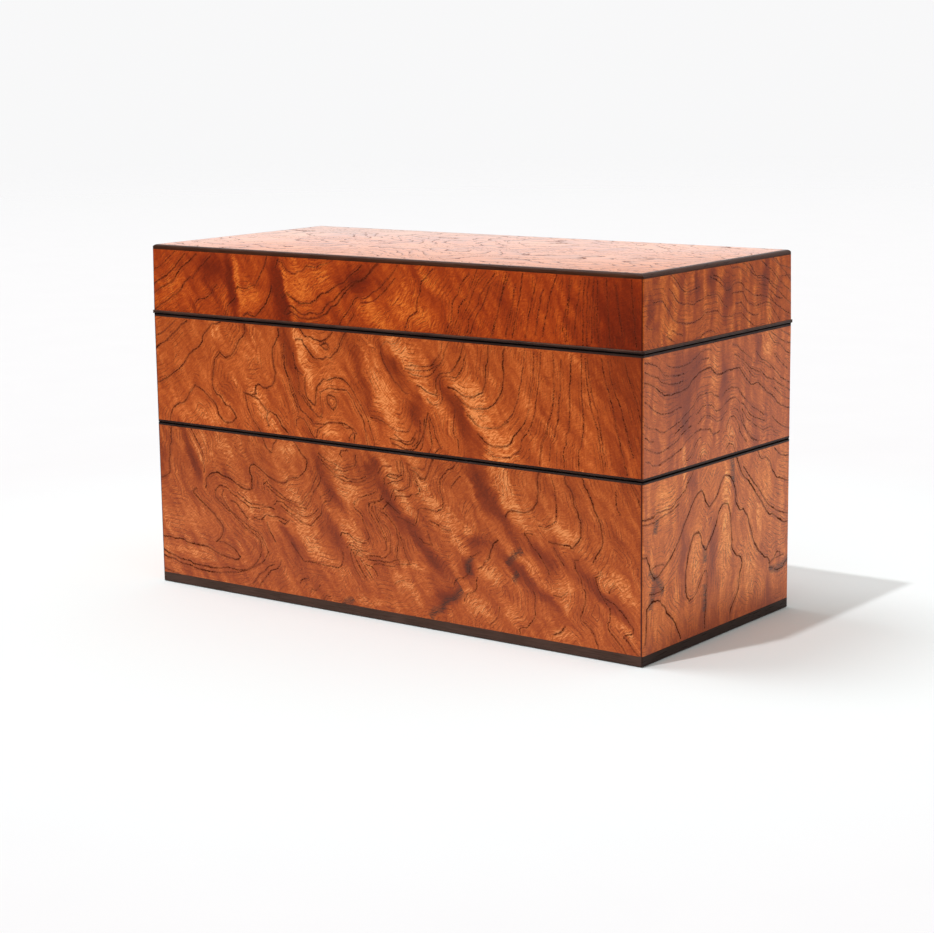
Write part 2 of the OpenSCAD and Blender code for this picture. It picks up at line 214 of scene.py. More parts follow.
FRONT_FINE = [
    [55.7, 146.8, 57.9, 152.9, 62.9, 160.7, 67.1, 170],
    [-61.2, 134, -61, 124.7, -58.8, 118, -55.5, 110.7, -53.5, 106, -50.8, 101.3, -46.2, 98, -42.8, 95.3,
     -34.8, 95.7, -28.8, 97, -24.2, 96.8, -18.2, 94.7, -15.8, 91.3, -16.8, 88],
    [-55.5, 130, -53.8, 122, -48.8, 119],
    [-151.5, 6.8, -145.6, 6.2, -139.7, 5.3],
    [-20.6, 32, -19.4, 28.5, -17.6, 24.4, -14.7, 20.3],
    [-18.2, 31.5, -16.5, 27.9, -14.1, 24.4, -11.2, 20.6],
    [-13.5, 28.5, -10.6, 25, -7, 20.9],
    [103.1, 49.4, 105, 46.3, 108.1, 42.5],
    [-149.5, 167.5, -145, 169.5, -141, 172.5, -137.5, 175, -135, 177],
    [-122.5, 164.5, -119.5, 168, -115.5, 171, -112, 174, -109.5, 176.5],
    [-122, 148, -119.5, 152.5, -115.5, 153.5, -112.5, 154.5, -110, 156.5, -108, 159.5, -106, 161],
    [-100.5, 146, -99, 149, -97.5, 152, -96, 153.5, -94, 155, -93.5, 157.5, -92.5, 160, -91, 161,
     -87, 160.5, -83.5, 161.5, -79.5, 162.5, -77.5, 165.5, -75, 169.5, -72.5, 174.5, -71.5, 177],
    [-65.5, 172.5, -64, 175.5, -61, 174.5, -59, 172, -56.5, 170.5, -53, 169.5, -50, 171, -47, 172,
     -45.5, 173.5, -42, 173.5, -37, 174.5, -32.5, 175.5, -29, 177],
    [-24.5, 146, -22, 149.5, -19, 153, -16, 156.5, -14.5, 159, -10.5, 159.5, -6, 161, -3.5, 163, 0.5, 165,
     4, 168, 7, 171, 10, 174, 12, 176.5],
    [-19, 146.5, -17, 149.5, -15, 152],
    [-10.5, 157.5, -6, 158, -2.5, 159, 0.5, 161.5, 4, 164, 7.5, 167.5, 10.5, 170.5],
    [16.5, 146, 18, 150, 20, 153, 22.5, 154.5, 24.5, 155.5, 24, 158, 25.5, 163, 26.5, 167.5, 27, 170.5,
     29.5, 172, 33.5, 176.5],
    [-151, 132, -146, 134, -142, 136.5, -138, 139.5, -135.5, 141],
    [-88.5, 106.5, -88, 103.5, -87, 100.5, -85.5, 96.5, -82.5, 92.5, -79.5, 89, -78, 86, -76, 82.5,
     -74.5, 79.5, -72, 78, -70.5, 79.5, -70.5, 82, -68, 84],
    [-51, 119.5, -52, 116.5, -52, 112.5, -49.5, 108, -46.5, 104.5, -43.5, 102, -40.5, 99.5, -38, 99,
     -37, 100.5, -37.5, 104.5, -38, 109.5, -37.5, 112, -34.5, 113, -29, 114, -23, 114, -19.5, 112.5,
     -17, 109.5, -14.5, 105.5, -12, 102, -10.5, 100, -9.5, 95, -8, 88],
    [13, 142, 11, 140, 6.5, 139.5, 3.5, 139, 1.5, 137, 1, 134.5, 2.5, 131, 4.5, 127.5, 7, 124.5, 9.5, 121,
     12, 119, 14.5, 116.5, 17, 115.5],
    [17, 127.5, 20, 127, 24, 127, 29, 127.5, 33, 129, 36.5, 130.5],
    [19.5, 125.5, 24, 124.5, 28, 124.5, 30.5, 125, 33.5, 127, 37, 130.5, 39.5, 134.5, 40.5, 138, 43, 142],
    [19, 129, 25, 129, 30, 129.5, 33, 130.5, 35, 133, 37, 135, 38, 138.5, 39, 142],
    [29.5, 113.5, 31.5, 112, 35, 111.5, 38, 113, 38.5, 115, 38, 118.5, 37, 122, 38.5, 124.5, 41.5, 125.5,
     45.5, 125.5, 48.5, 127, 50.5, 130, 51.5, 133.5, 53, 137],
    [53.5, 108, 56.5, 105.5, 60, 103.5, 64.5, 103, 69.5, 103, 73, 104.5, 76.5, 106.5],
    [64.5, 92, 68.5, 90, 73, 89.5, 77, 90, 80.5, 92, 83.5, 93],
    [31, 104.5, 33, 100, 34.5, 95, 37, 90.5, 34, 88, 32, 84.5, 30.5, 81],
    [30.5, 103.5, 30.5, 99.5, 32, 93.5, 30.5, 88, 29, 84.5, 28, 82, 27, 79.5, 24.5, 79, 21, 79, 19, 80.5,
     16.5, 81],
    [27.5, 104.5, 27, 98, 26.5, 93, 24.5, 88],
    [25, 103, 24.5, 97, 23, 92, 20.5, 90],
    [-5, 101.5, 0, 101, 3.5, 100, 8.5, 97.5, 13, 96.5, 17, 97, 19, 99.5, 20, 103, 20.5, 106],
    [9.5, 94.5, 12.5, 92.5, 17, 92, 20, 93.5, 22.5, 97.5],
    [-41, 88, -40.5, 91, -39.5, 93, -35, 95.5, -30, 96.5, -25, 96.5, -21.5, 95, -18, 95, -15.5, 93,
     -16.5, 90, -16, 88],
    [-20, 88.5, -19.5, 90.5, -18, 92],
    [-54.5, 93, -54, 96, -52, 97.5, -49, 96.5, -46, 93, -43.5, 89.5, -42, 88],
    [-109, 12.5, -103.5, 13, -97.5, 13, -92.5, 13.5, -88, 15.5, -84, 18.5, -81, 22.5, -80, 26, -80.5, 29,
     -82.5, 32, -86, 34, -90.5, 36, -95, 39, -99.5, 42.5, -103.5, 46, -106, 49.5, -107, 52, -106, 54],
    [-110.5, 9.5, -105.5, 10.5, -101, 11, -96, 12, -90, 14, -85, 16.5, -79.5, 19.5, -77, 22.5, -75.5, 25,
     -77, 27.5, -78.5, 30.5, -80.5, 33, -84, 35, -88, 37, -92.5, 39, -98.5, 42.5, -103.5, 44.5,
     -107.5, 47.5, -111, 50, -111.5, 52.5, -110.5, 54.5, -107.5, 56.5, -104.5, 56.5, -101.5, 54.5,
     -98.5, 52.5, -96.5, 52, -94, 50.5, -90.5, 49, -87, 47.5, -82.5, 47.5, -79.5, 48, -75.5, 49, -71, 48.5],
    [-95, 53.5, -92.5, 52, -89, 50, -85.5, 49.5, -82, 49.5, -78.5, 50],
    [-87, 7, -85.5, 8.5, -83, 11.5, -79.5, 14, -75.5, 17.5, -72, 19],
    [-81.5, 7.5, -79.5, 10, -75.5, 14, -72, 16.5, -69, 18, -67.5, 21],
    [-77, 58, -77.5, 61, -75.5, 62, -73.5, 60.5, -69, 58, -65.5, 56.5, -61.5, 54.5, -57, 53.5, -53, 53,
     -51, 54.5, -49.5, 57, -47, 59.5, -44.5, 63, -42.5, 67, -41, 70, -40.5, 74],
    [-74, 59, -70, 56.5, -65, 54.5, -60, 53, -57, 52, -53.5, 51, -50, 51, -48, 53, -46, 56, -43.5, 60.5,
     -40.5, 64, -39.5, 68],
    [-70, 51, -68.5, 52.5, -66, 52.5, -63, 51, -60, 50, -57, 48.5, -53.5, 47.5, -49.5, 47, -46, 48,
     -43, 50.5, -41.5, 52],
    [-66, 50.5, -63, 49, -60, 47.5, -56.5, 46, -52.5, 44, -49, 43, -46, 42.5, -44.5, 44, -43, 46,
     -40.5, 48, -39.5, 49.5, -39, 52.5, -37.5, 55, -34.5, 56.5, -32.5, 57.5, -32, 58.5],
    [-39.5, 57, -39, 58.5, -36.5, 60, -34.5, 61, -33.5, 62.5],
    [-85.5, 41.5, -84, 42.5, -81.5, 42, -79, 42, -77.5, 44, -74.5, 44.5, -69, 44.5, -65, 44, -61.5, 43,
     -63.5, 41.5, -67, 42.5],
    [-76, 41, -75.5, 39, -74, 36, -72, 33.5, -70.5, 31],
    [-39.5, 80, -36.5, 78, -30.5, 76.5, -27, 75, -23.5, 74.5, -20, 75.5, -17, 76.5, -16, 78, -16, 81.5],
    [-39.5, 78, -36.5, 76, -33, 74.5, -29.5, 73, -26, 73, -22, 73.5],
    [-36.5, 75, -33.5, 73, -29.5, 71, -26, 70.5, -21, 69.5, -16.5, 69.5, -13, 70.5, -10, 71.5],
    [-29.5, 70, -26, 69, -22, 68, -17.5, 68, -13.5, 68.5, -10.5, 69.5],
    [-25.5, 81, -26, 82, -25.5, 83, -23.5, 83.5, -22, 83.5],
    [-1, 75.5, 0, 77, 2.5, 78, 6, 78.5],
    [10, 81.5, 10.5, 78, 12, 75.5, 10.5, 74.5, 7.5, 74.5, 4.5, 74, 2.5, 72.5, 2, 70.5, 2, 68.5],
    [12, 82, 12.5, 77.5, 12, 74.5, 10, 73, 7, 73, 4.5, 73],
    [13, 82, 14, 75.5, 13, 72.5, 9.5, 71, 6, 70.5, 4, 69],
    [16.5, 81, 16.5, 78.5, 18, 75.5, 18, 72, 17, 69.5, 14.5, 68, 10.5, 67, 8, 66.5, 6.5, 64.5, 5.5, 61.5],
    [20.5, 75, 22, 72, 24, 69, 23, 67, 19.5, 66.5, 16.5, 64.5, 11, 64.5, 9.5, 64, 8.5, 62.5],
    [47, 84.5, 45, 82.5, 42.5, 81, 40, 79, 38, 77, 36.5, 74.5, 36.5, 71.5, 37.5, 68, 38, 64, 37, 61,
     34.5, 59.5, 30.5, 59.5, 25.5, 60, 23, 58.5, 22.5, 55.5, 21.5, 52.5, 20, 51, 17, 51.5, 13.5, 53,
     10.5, 53.5],
    [-13, 61, -10, 62, -7, 63, -4.5, 64.5],
    [-8.5, 57, -8, 58.5, -4.5, 59.5, -1, 61, 0.5, 64],
    [-4.5, 57.5, -3.5, 54, -0.5, 49.5, 3.5, 47, 5, 43, 5.5, 39, 5, 35.5, 2.5, 33, -2, 32, -7, 32, -9.5, 31],
    [-2, 54, -1, 55.5, 2, 54.5, 6.5, 50.5, 9.5, 45.5, 10.5, 41, 9.5, 37, 9, 33, 10.5, 31.5],
    [17, 31, 13.5, 30.5, 10.5, 30, 8, 29, 5.5, 28, 1, 28.5, -3.5, 28, -5.5, 27.5],
    [9.5, 32, 6.5, 31, 2.5, 30, -2.5, 30, -6, 29.5, -9, 30],
    [-26.5, 40, -26, 41.5, -23.5, 41.5, -20.5, 40.5, -17, 38.5, -13.5, 38, -10, 38],
    [-22.5, 34.5, -21.5, 35.5, -19, 35.5, -15.5, 34, -13, 34, -10.5, 34],
    [-20.5, 31.5, -20, 33.5, -16.5, 33.5, -13, 32, -10, 31.5],
    [-17.5, 30.5, -16.5, 32, -13.5, 31],
    [-10, 27, -7, 26.5, -4.5, 24.5, -3.5, 23],
    [7.5, 19.5, 9.5, 21, 12.5, 22],
    [-60, 32.5, -57, 29.5, -53.5, 25.5, -49.5, 23.5, -44.5, 23.5, -39.5, 23.5, -33.5, 23, -29.5, 23,
     -26.5, 25, -25.5, 28, -26, 31.5],
    [30, 54, 32, 53.5, 35.5, 52.5, 39, 51, 42, 51],
    [28.5, 49, 29.5, 45.5, 31, 42.5, 28, 42.5, 24.5, 44],
    [43, 72, 45, 74.5, 47, 77, 48, 78],
    [90, 55, 87, 54.5, 86.5, 54, 88, 52, 90, 49.5, 93, 47, 96.5, 42.5, 99, 39.5, 100, 37],
    [116, 45.5, 114.5, 45.5, 114.5, 44, 116, 40, 118, 36.5, 119, 32.5, 120.5, 30, 119.5, 24.5, 118, 20.5,
     117.5, 19.5, 120, 16.5, 124, 13, 126, 9.5, 127.5, 6],
    [129, 42, 128.5, 40.5, 126, 39, 126.5, 37, 127.5, 34, 130, 30, 132.5, 26.5, 134, 23, 134, 20,
     133, 17.5, 134, 14.5, 136.5, 12, 139.5, 9, 142.5, 5],
    [134, 33.5, 135, 35, 136.5, 36.5],
    [131.5, 29.5, 135.5, 28, 140, 24.5, 144, 20.5, 146.5, 17.5, 146.5, 15.5, 145, 14.5, 142.5, 13.5,
     142, 12.5, 145, 9.5, 149.5, 5.5],
    [83, 5.5, 83, 8, 85.5, 9.5, 88, 10, 89.5, 12, 92, 14.5, 92, 19.5, 92, 24, 90.5, 28],
    [66.5, 8, 69, 10.5, 70.5, 14, 71, 17],
    [103, 27, 106.5, 27, 108, 28, 110, 29.5],
    [50.5, 18, 52, 20.5, 55, 21.5, 56.5, 22.5, 57.5, 27, 58, 29.5],
    [44.5, 25, 45.5, 27, 49.5, 28, 52.5, 30.5, 53.5, 34],
    [59, 34, 61.5, 35.5, 63, 38, 65.5, 40],
    [54.5, 39.5, 57.5, 41, 60.5, 43],
    [145.5, 84.5, 147.5, 80.5, 150, 75.5],
    [-47.5, 7.5, -47, 9, -44.5, 9.5, -42.5, 11, -41, 12.5],
    [-54, 12, -53, 13.5, -50.5, 14, -49, 15],
    [-39, 5, -37.5, 7, -35.5, 7.5],
    [-127, 84, -124.5, 80.5, -122, 77, -120, 73.5, -119.5, 69, -119, 64.5, -119.5, 62.5],
]

FRONT_DOTTED = [
    [112, 177, 111.5, 165, 110.5, 155, 110, 147],
    [125, 177, 124.5, 165, 124, 147],
    [132, 177, 132.5, 165, 133.5, 152, 134, 147],
    [145, 177, 146, 165, 147.5, 152, 148, 147],
    [86, 177, 84, 165, 81, 152, 80, 147],
    [77, 177, 74, 166, 70, 152, 68.5, 147],
    [-16.8, 114, -12.8, 108, -8.8, 102, -6.2, 96, -4.2, 90.7],
    [-1.8, 60.3, -5.3, 59.7, -8.2, 57.9, -8.5, 55.6, -7, 53.2, -4.7, 49.7, -2.4, 46.8, -0.6, 43.8,
     1.8, 40.9, 2.4, 37.9, 1.2, 35.6],
    [102.8, 141, 103.2, 124, 102.5, 117, 100, 108, 98.5, 103, 96, 98.5, 95.5, 94, 95, 88.5],
    [117, 87.5, 117, 94.5, 118, 98.5, 119, 104.5, 119.5, 110, 119, 120, 118.5, 130, 118.5, 142],
    [41.5, 146, 43, 150, 44.5, 153.5, 45, 158.5, 45.5, 162, 48.5, 165.5, 50, 169.5, 52, 172, 55, 175],
    [44.5, 146, 46.5, 150.5, 48.5, 154.5, 48.5, 157, 50.5, 160.5, 53, 163, 54.5, 166.5, 56.5, 169.5,
     59.5, 177],
    [48, 146, 49.5, 150.5, 51.5, 155, 55, 160.5, 56.5, 164.5, 60.5, 172, 64.5, 176.5],
    [53, 146, 55, 150, 55.5, 155, 58.5, 158.5, 60.5, 161.5, 61.5, 165, 65.5, 170.5, 69.5, 175.5],
    [67.5, 146, 68.5, 149.5, 70, 153.5, 72, 158, 72.5, 162, 74.5, 167, 76.5, 171.5, 78.5, 176.5],
    [76, 147, 78, 154.5, 79.5, 160.5, 82, 172],
    [87.5, 147, 89, 154.5, 90, 160.5, 91.5, 166, 93, 173],
    [93, 148.5, 94.5, 158, 95.5, 164.5, 98, 170.5],
    [97, 148.5, 99.5, 160.5, 102, 169.5, 105, 177],
    [108, 151.5, 109.5, 159.5, 111.5, 168, 113.5, 175.5],
    [114.5, 150.5, 115.5, 159.5, 117, 168, 118, 175.5],
    [119.5, 146, 119.5, 160, 120.5, 177],
    [121.5, 146, 121.5, 162, 122.5, 177],
    [128, 148, 127, 158, 127, 176],
    [140.5, 151.5, 139.5, 158, 138, 165, 136.5, 174.5],
    [-55.5, 129, -54.5, 124.5, -52.5, 120.5, -52, 113.5, -49.5, 109.5, -46.5, 106, -43, 102],
    [-61, 134.5, -62, 129.5, -61.5, 123.5, -60, 119.5, -58, 114, -56.5, 109.5, -54, 104, -52.5, 100],
    [-60, 120.5, -57.5, 112.5, -55.5, 108, -53, 103, -50, 100.5],
    [46, 110.5, 45.5, 105, 45, 100.5, 47, 96.5, 48, 93, 47.5, 88.5],
    [50.5, 111.5, 54.5, 108, 58.5, 104.5, 63, 103, 66.5, 103, 70, 103.5, 74.5, 105.5, 77, 108, 80.5, 113.5,
     83.5, 121.5, 85.5, 130, 87, 141.5],
    [79.5, 98, 82, 102, 85, 105.5, 88.5, 112, 89.5, 118, 90.5, 123.5, 91.5, 130, 92, 141],
    [80.5, 92, 84, 94.5, 84.5, 98, 87.5, 102, 90.5, 107, 92.5, 113.5, 93.5, 119.5, 95, 128.5, 96, 141],
    [95, 88, 96, 94.5, 97, 100, 99.5, 103.5, 100, 109.5],
    [100.5, 90.5, 101, 97, 103, 101.5, 104, 106.5, 105.5, 112, 106, 118.5, 107, 130, 107, 138.5],
    [108.5, 88.5, 108.5, 94.5, 110, 99.5, 110.5, 104.5, 112, 110, 112, 119.5, 112.5, 130, 113, 141.5],
    [130.5, 89.5, 129.5, 95.5, 128.5, 102, 127, 108.5, 124.5, 115.5, 123, 120.5, 122, 126.5, 120.5, 140],
    [131.5, 91.5, 130.5, 98.5, 129.5, 104.5, 128, 111.5, 127.5, 115.5, 125.5, 119.5, 124, 124.5, 123, 130,
     121.5, 140.5],
    [143.5, 88, 141.5, 95, 140, 100.5, 138.5, 106.5, 137, 111.5, 135.5, 118, 133.5, 124.5, 131.5, 130.5,
     129.5, 140.5],
    [146.5, 96.5, 144.5, 103, 143, 108.5, 141.5, 113.5, 139.5, 119.5, 137, 125, 135, 130.5, 132.5, 140.5],
    [150.5, 113.5, 148.5, 120.5, 146.5, 126.5, 144.5, 132, 141.5, 140.5],
    [-15, 60, -17.5, 58, -17.5, 56.5, -15.5, 54, -13.5, 52.5, -12.5, 49.5, -11, 47, -9.5, 44.5, -8, 41.5,
     -9, 39.5],
    [0.5, 61.5, -3.5, 59.5, -6, 58, -6.5, 56, -4, 52, -1, 48, 1, 44.5, 2.5, 41.5, 2.5, 38, 1, 35.5],
    [11, 45, 13, 41, 14, 37, 16.5, 32],
    [101.5, 83, 103, 79, 104, 74, 104.5, 69, 104.5, 66.5, 103.5, 62.5, 100, 60, 95, 59.5],
    [137, 80, 137.5, 74.5, 139.5, 70],
]

# Grey-black mineral stains of the front
FRONT_STAIN = [
    [30, 7, 33, 10, 36, 11, 40, 16, 44, 17, 49, 22],
    [54, 31, 53, 35, 55, 39],
    [80, 31, 82, 35],
    [76, 39, 79, 42, 84, 46],
    [-25, 5, -20, 8],
]

# Ring lines of the right end, where -68 across is the front corner
SIDE_BOLD = [
    [-66.5, 131, -59.5, 129, -55.5, 126.5, -51.5, 124.5, -45.5, 123, -39.5, 123, -34.5, 123.5,
     -29.5, 124.5, -26.5, 126.5, -21.5, 129, -16.5, 130.5, -11.5, 131, -8, 130, -4.5, 128, -0.5, 127,
     3.5, 127.5, 9.5, 128, 15.5, 128, 18.5, 126.5, 22, 123.5, 26, 120, 30.5, 118.5, 36, 118, 40.5, 115.5,
     44.5, 112.5, 49.5, 110.5, 54.5, 106.5, 60.5, 103.5, 68, 101.5],
    [-68, 51, -64.5, 50.5, -62, 46, -59.5, 41.5, -57, 39.5, -51.5, 42, -46.5, 45, -42, 48.5, -39, 51.5,
     -34.5, 56.5, -31.5, 61, -27, 66, -23, 71, -19.5, 73, -16.5, 74, -14, 71, -11.5, 66.5, -9.5, 65,
     -6.5, 66, -3, 69, 0.5, 73.5, 3, 76.5, 6, 77.5, 10.5, 76, 13, 72.5, 15.5, 66, 18.5, 59, 21, 58.5,
     24.5, 56.5, 28, 51, 30.5, 46, 33.5, 40, 37, 36, 40.5, 33, 44.5, 30, 48, 28.5, 49.5, 26],
    [-29.5, 26, -30.5, 33.5, -29.5, 40, -28, 46, -25.5, 51, -23, 54, -19, 54.5, -16.5, 51, -14.5, 46.5,
     -12, 45, -10.5, 46.5, -8, 49.5, -4.5, 53.5, -1.5, 58.5, 1, 62.5, 4.5, 64, 8, 63, 10, 58.5, 11, 51,
     12, 44, 13.5, 39, 16, 36.5, 19.5, 35.5, 21.5, 31, 19.5, 25, 18.5, 20, 16, 16, 12, 11.5, 10.5, 6.5],
    [15.5, 85, 18.5, 80, 22, 75, 26, 72.5, 30.5, 68.5, 35.5, 63.5, 40.5, 58.5, 45.5, 53.5, 51, 51,
     55.5, 48.5, 61, 45.5, 68, 44.5],
    [-65.5, 10, -64.5, 20, -64, 26.5, -60.5, 29, -55.5, 29, -52, 26.5, -48, 24, -46.5, 21, -42, 17.5,
     -39, 13.5, -34.5, 6.5],
]

SIDE_FINE = [
    [20.5, 177, 25, 175, 28, 172.5, 32, 170.5, 36, 170, 40, 169.5, 44, 168, 48, 166, 53, 163.5, 58, 162],
    [9, 177, 12, 176, 15, 176, 18, 175, 21, 173.5, 24, 172],
    [-7, 174, -3, 173, 0, 171.5, 4, 169],
    [36, 166, 41, 165, 45, 163, 49, 160.5, 53, 158.5, 58, 157],
    [44, 161, 47, 159, 50, 156.5, 53, 154.5, 56, 153],
    [58, 168, 62, 168, 67, 166.5],
    [48, 178, 52, 175.5, 56, 173.5, 61, 172.5, 67, 171],
    [-66, 157, -62, 155, -58, 154.5],
    [-48, 150, -44, 148, -41, 146.5],
    [-43, 152, -38, 150, -34, 149],
    [-18, 146.5, -14, 148, -10, 148.5, -6, 147],
    [-48, 137, -43, 135.5, -36, 135, -30, 135.5, -25, 137, -20, 138.5, -14, 140, -9, 139.5],
    [-20, 134.5, -16, 136, -11, 136],
    [11, 139.5, 14, 139, 18, 137, 22, 134.5, 26, 132.5, 29, 131],
    [12, 135, 16, 133.5, 20, 131.5, 24, 129, 28, 126.5, 33, 124.5, 38, 123],
    [20, 130, 24, 127.5, 28, 124, 31, 122, 34, 121.5],
    [1, 116, 4, 118, 7, 118.5, 10, 119.5, 14, 119, 17, 117.5, 20, 114.5, 24, 111.5, 28, 109, 32, 106.5,
     37, 104.5, 41, 102],
    [20, 110.5, 24, 107.5, 28, 104, 33, 101.5, 38, 100, 42, 99],
    [38, 124, 42, 121, 46, 119, 50, 118],
    [36, 129, 40, 127.5, 44, 125.5, 48, 124],
    [52, 130, 56, 127, 60, 124, 64, 122],
    [50, 119, 54, 116.5, 58, 114.5, 63, 112.5, 68, 110.5],
    [48, 141.5, 53, 139, 58, 136.5, 63, 135, 68, 134],
    [57, 142, 61, 140, 68, 138],
    [-66, 106.5, -62, 104, -59, 103.5],
    [-40, 104.5, -36, 106, -31, 108.5, -27, 110.5],
    [-20, 106, -16, 108.5, -12, 109, -8, 107.5, -5, 106, -1, 105, 3, 107, 6, 108.5],
    [-30, 90.5, -25, 93, -22, 97, -18, 99.5],
    [12, 109, 16, 108, 19, 104, 22, 99, 26, 95, 30, 92, 36, 90],
    [-44, 177.5, -39.5, 174, -34.5, 170, -29.5, 168.5, -24.5, 169, -19.5, 170],
    [-45.5, 171.5, -40.5, 166.5, -35.5, 164, -29.5, 163, -24.5, 162, -20.5, 163.5, -15.5, 164, -11.5, 165,
     -5.5, 165, -2, 164, 1, 161, 5.5, 158],
    [-59.5, 166.5, -54.5, 166.5, -49.5, 164.5, -47, 162, -44.5, 159, -40.5, 156.5, -34.5, 154.5, -28, 154,
     -21.5, 154.5, -16.5, 156, -11.5, 157.5, -7, 157.5, -2, 156, 1, 154, 4.5, 153.5, 9.5, 153.5, 15.5, 154,
     19.5, 153, 23, 151, 27, 148.5, 30.5, 146.5],
    [-9.5, 173.5, -3, 171, 3, 167.5, 5.5, 166, 10.5, 168, 15.5, 168.5, 19.5, 167.5, 23, 165, 28, 162.5,
     32, 161, 40, 160, 48, 157, 58, 152, 68, 148],
    [10.5, 164, 15.5, 164, 20.5, 163.5, 23.5, 160, 28, 157.5, 33, 156, 41, 156.5, 45.5, 156, 48.5, 153.5,
     52, 150, 56, 146.5],
    [13.5, 159, 18.5, 159, 22, 156, 25.5, 153.5, 34.5, 151.5],
    [26, 177, 31, 172, 36, 169, 43, 168, 49, 164, 56, 160, 68, 153],
    [38, 177, 43, 174, 49, 171, 55, 166.5, 61, 163, 68, 159],
    [52, 177, 57, 172.5, 62, 169, 68, 164.5],
    [-66.5, 140, -61.5, 139, -56.5, 137.5, -52, 134.5, -48, 132, -43, 131.5, -33, 131],
    [-66.5, 136, -61.5, 134, -55.5, 132, -52, 129.5, -47, 128.5, -40.5, 127.5, -34, 128],
    [-66.5, 122.5, -61.5, 119.5, -56.5, 116.5, -51.5, 115, -46.5, 114.5, -35.5, 116],
    [-66.5, 112, -63, 110, -57, 109, -53, 107, -48, 106.5, -43, 108, -38, 109, -33, 111.5, -28, 113.5,
     -24, 115.5, -19, 119, -14.5, 119.5, -9.5, 119.5, -6.5, 118, -1.5, 116],
    [-21.5, 111, -17, 113.5, -13, 114, -9, 113.5, -5.5, 111.5, -2, 110, 3, 111.5, 7, 113.5, 11, 114,
     14.5, 113.5, 18, 111],
    [-66.5, 101.5, -63, 100, -58, 98.5, -54, 97.5, -50.5, 98, -39.5, 100.5, -34.5, 103.5, -26.5, 106],
    [-65.5, 95, -61.5, 94, -56.5, 92, -51.5, 92.5, -46.5, 93.5, -40.5, 95, -35.5, 96.5, -29.5, 100,
     -24.5, 101.5, -19.5, 103, -11.5, 102.5, -9, 101.5, -6.5, 99, -0.5, 100],
    [20.5, 107.5, 23.5, 104, 28, 101, 32, 98.5, 37, 96, 41, 94.5, 48, 95, 51, 92.5, 55.5, 90.5],
    [20.5, 105, 22, 101, 24.5, 96.5, 28.5, 93.5, 32, 91.5],
    [6, 100, 8.5, 104.5, 11, 105, 14.5, 103.5, 18, 99, 20.5, 95, 24.5, 91],
    [45.5, 142, 48.5, 138, 53, 136, 59.5, 133, 62, 131, 68, 129],
    [33, 134, 38, 130, 44, 127.5, 50, 124, 57, 119, 68, 114],
    [52, 114, 56, 111, 60.5, 108.5, 68, 106],
    [49.5, 100, 54.5, 96.5, 59.5, 94, 68, 91.5],
    [-18, 89, -17, 91.5, -14.5, 92, -12, 90.5],
    [5.5, 90.5, 8.5, 92.5, 12, 91.5, 14.5, 87.5],
    [-68, 69, -63, 68.5, -58, 69, -53, 70, -46.5, 70, -41.5, 71, -38, 73.5, -34, 75, -30.5, 77, -29, 79.5,
     -24.5, 84],
    [-68, 66.5, -62, 66, -55, 67, -48, 68, -42, 69, -37, 71],
    [-29.5, 25.5, -27, 23, -23, 24, -19.5, 26.5, -17, 31, -14, 34, -11.5, 34.5, -11, 30, -12, 23.5,
     -12.5, 16, -13, 6.5],
    [35.5, 85, 38.5, 81.5, 41, 80, 46, 79, 48.5, 76.5, 52, 71.5, 57, 68.5, 62, 66.5, 68, 65],
    [52, 84, 56, 81, 61, 79, 68, 77.5],
    [22, 79, 27, 75, 32, 70, 37, 66, 43, 60, 48, 56, 56, 52, 68, 48],
    [48, 26.5, 53, 27.5, 58, 28, 63, 28],
    [48, 24, 53, 23.5, 58.5, 21.5, 63.5, 23.5, 68, 26],
    [53.5, 28, 55, 30, 57, 31, 59.5, 30, 59.5, 28],
    [-62, 33, -56, 32.5, -50, 34],
    [-60, 44, -54, 45.5, -50, 44.5],
]

# Dark stains of the right end
SIDE_STAIN = [
    [-62, 43, -57, 39, -53, 36, -51, 31],
    [-58, 37, -60, 31, -61, 26],
    [49, 24, 54, 22.5, 60, 23, 67, 25.5],
    [-55.5, 67, -56.5, 64, -57.5, 60.5],
    [11.5, 85, 12, 79, 13, 73],
    [-14, 47, -13, 43, -13.5, 39],
    [-13.8, 28, -13, 22, -13.6, 15],
]
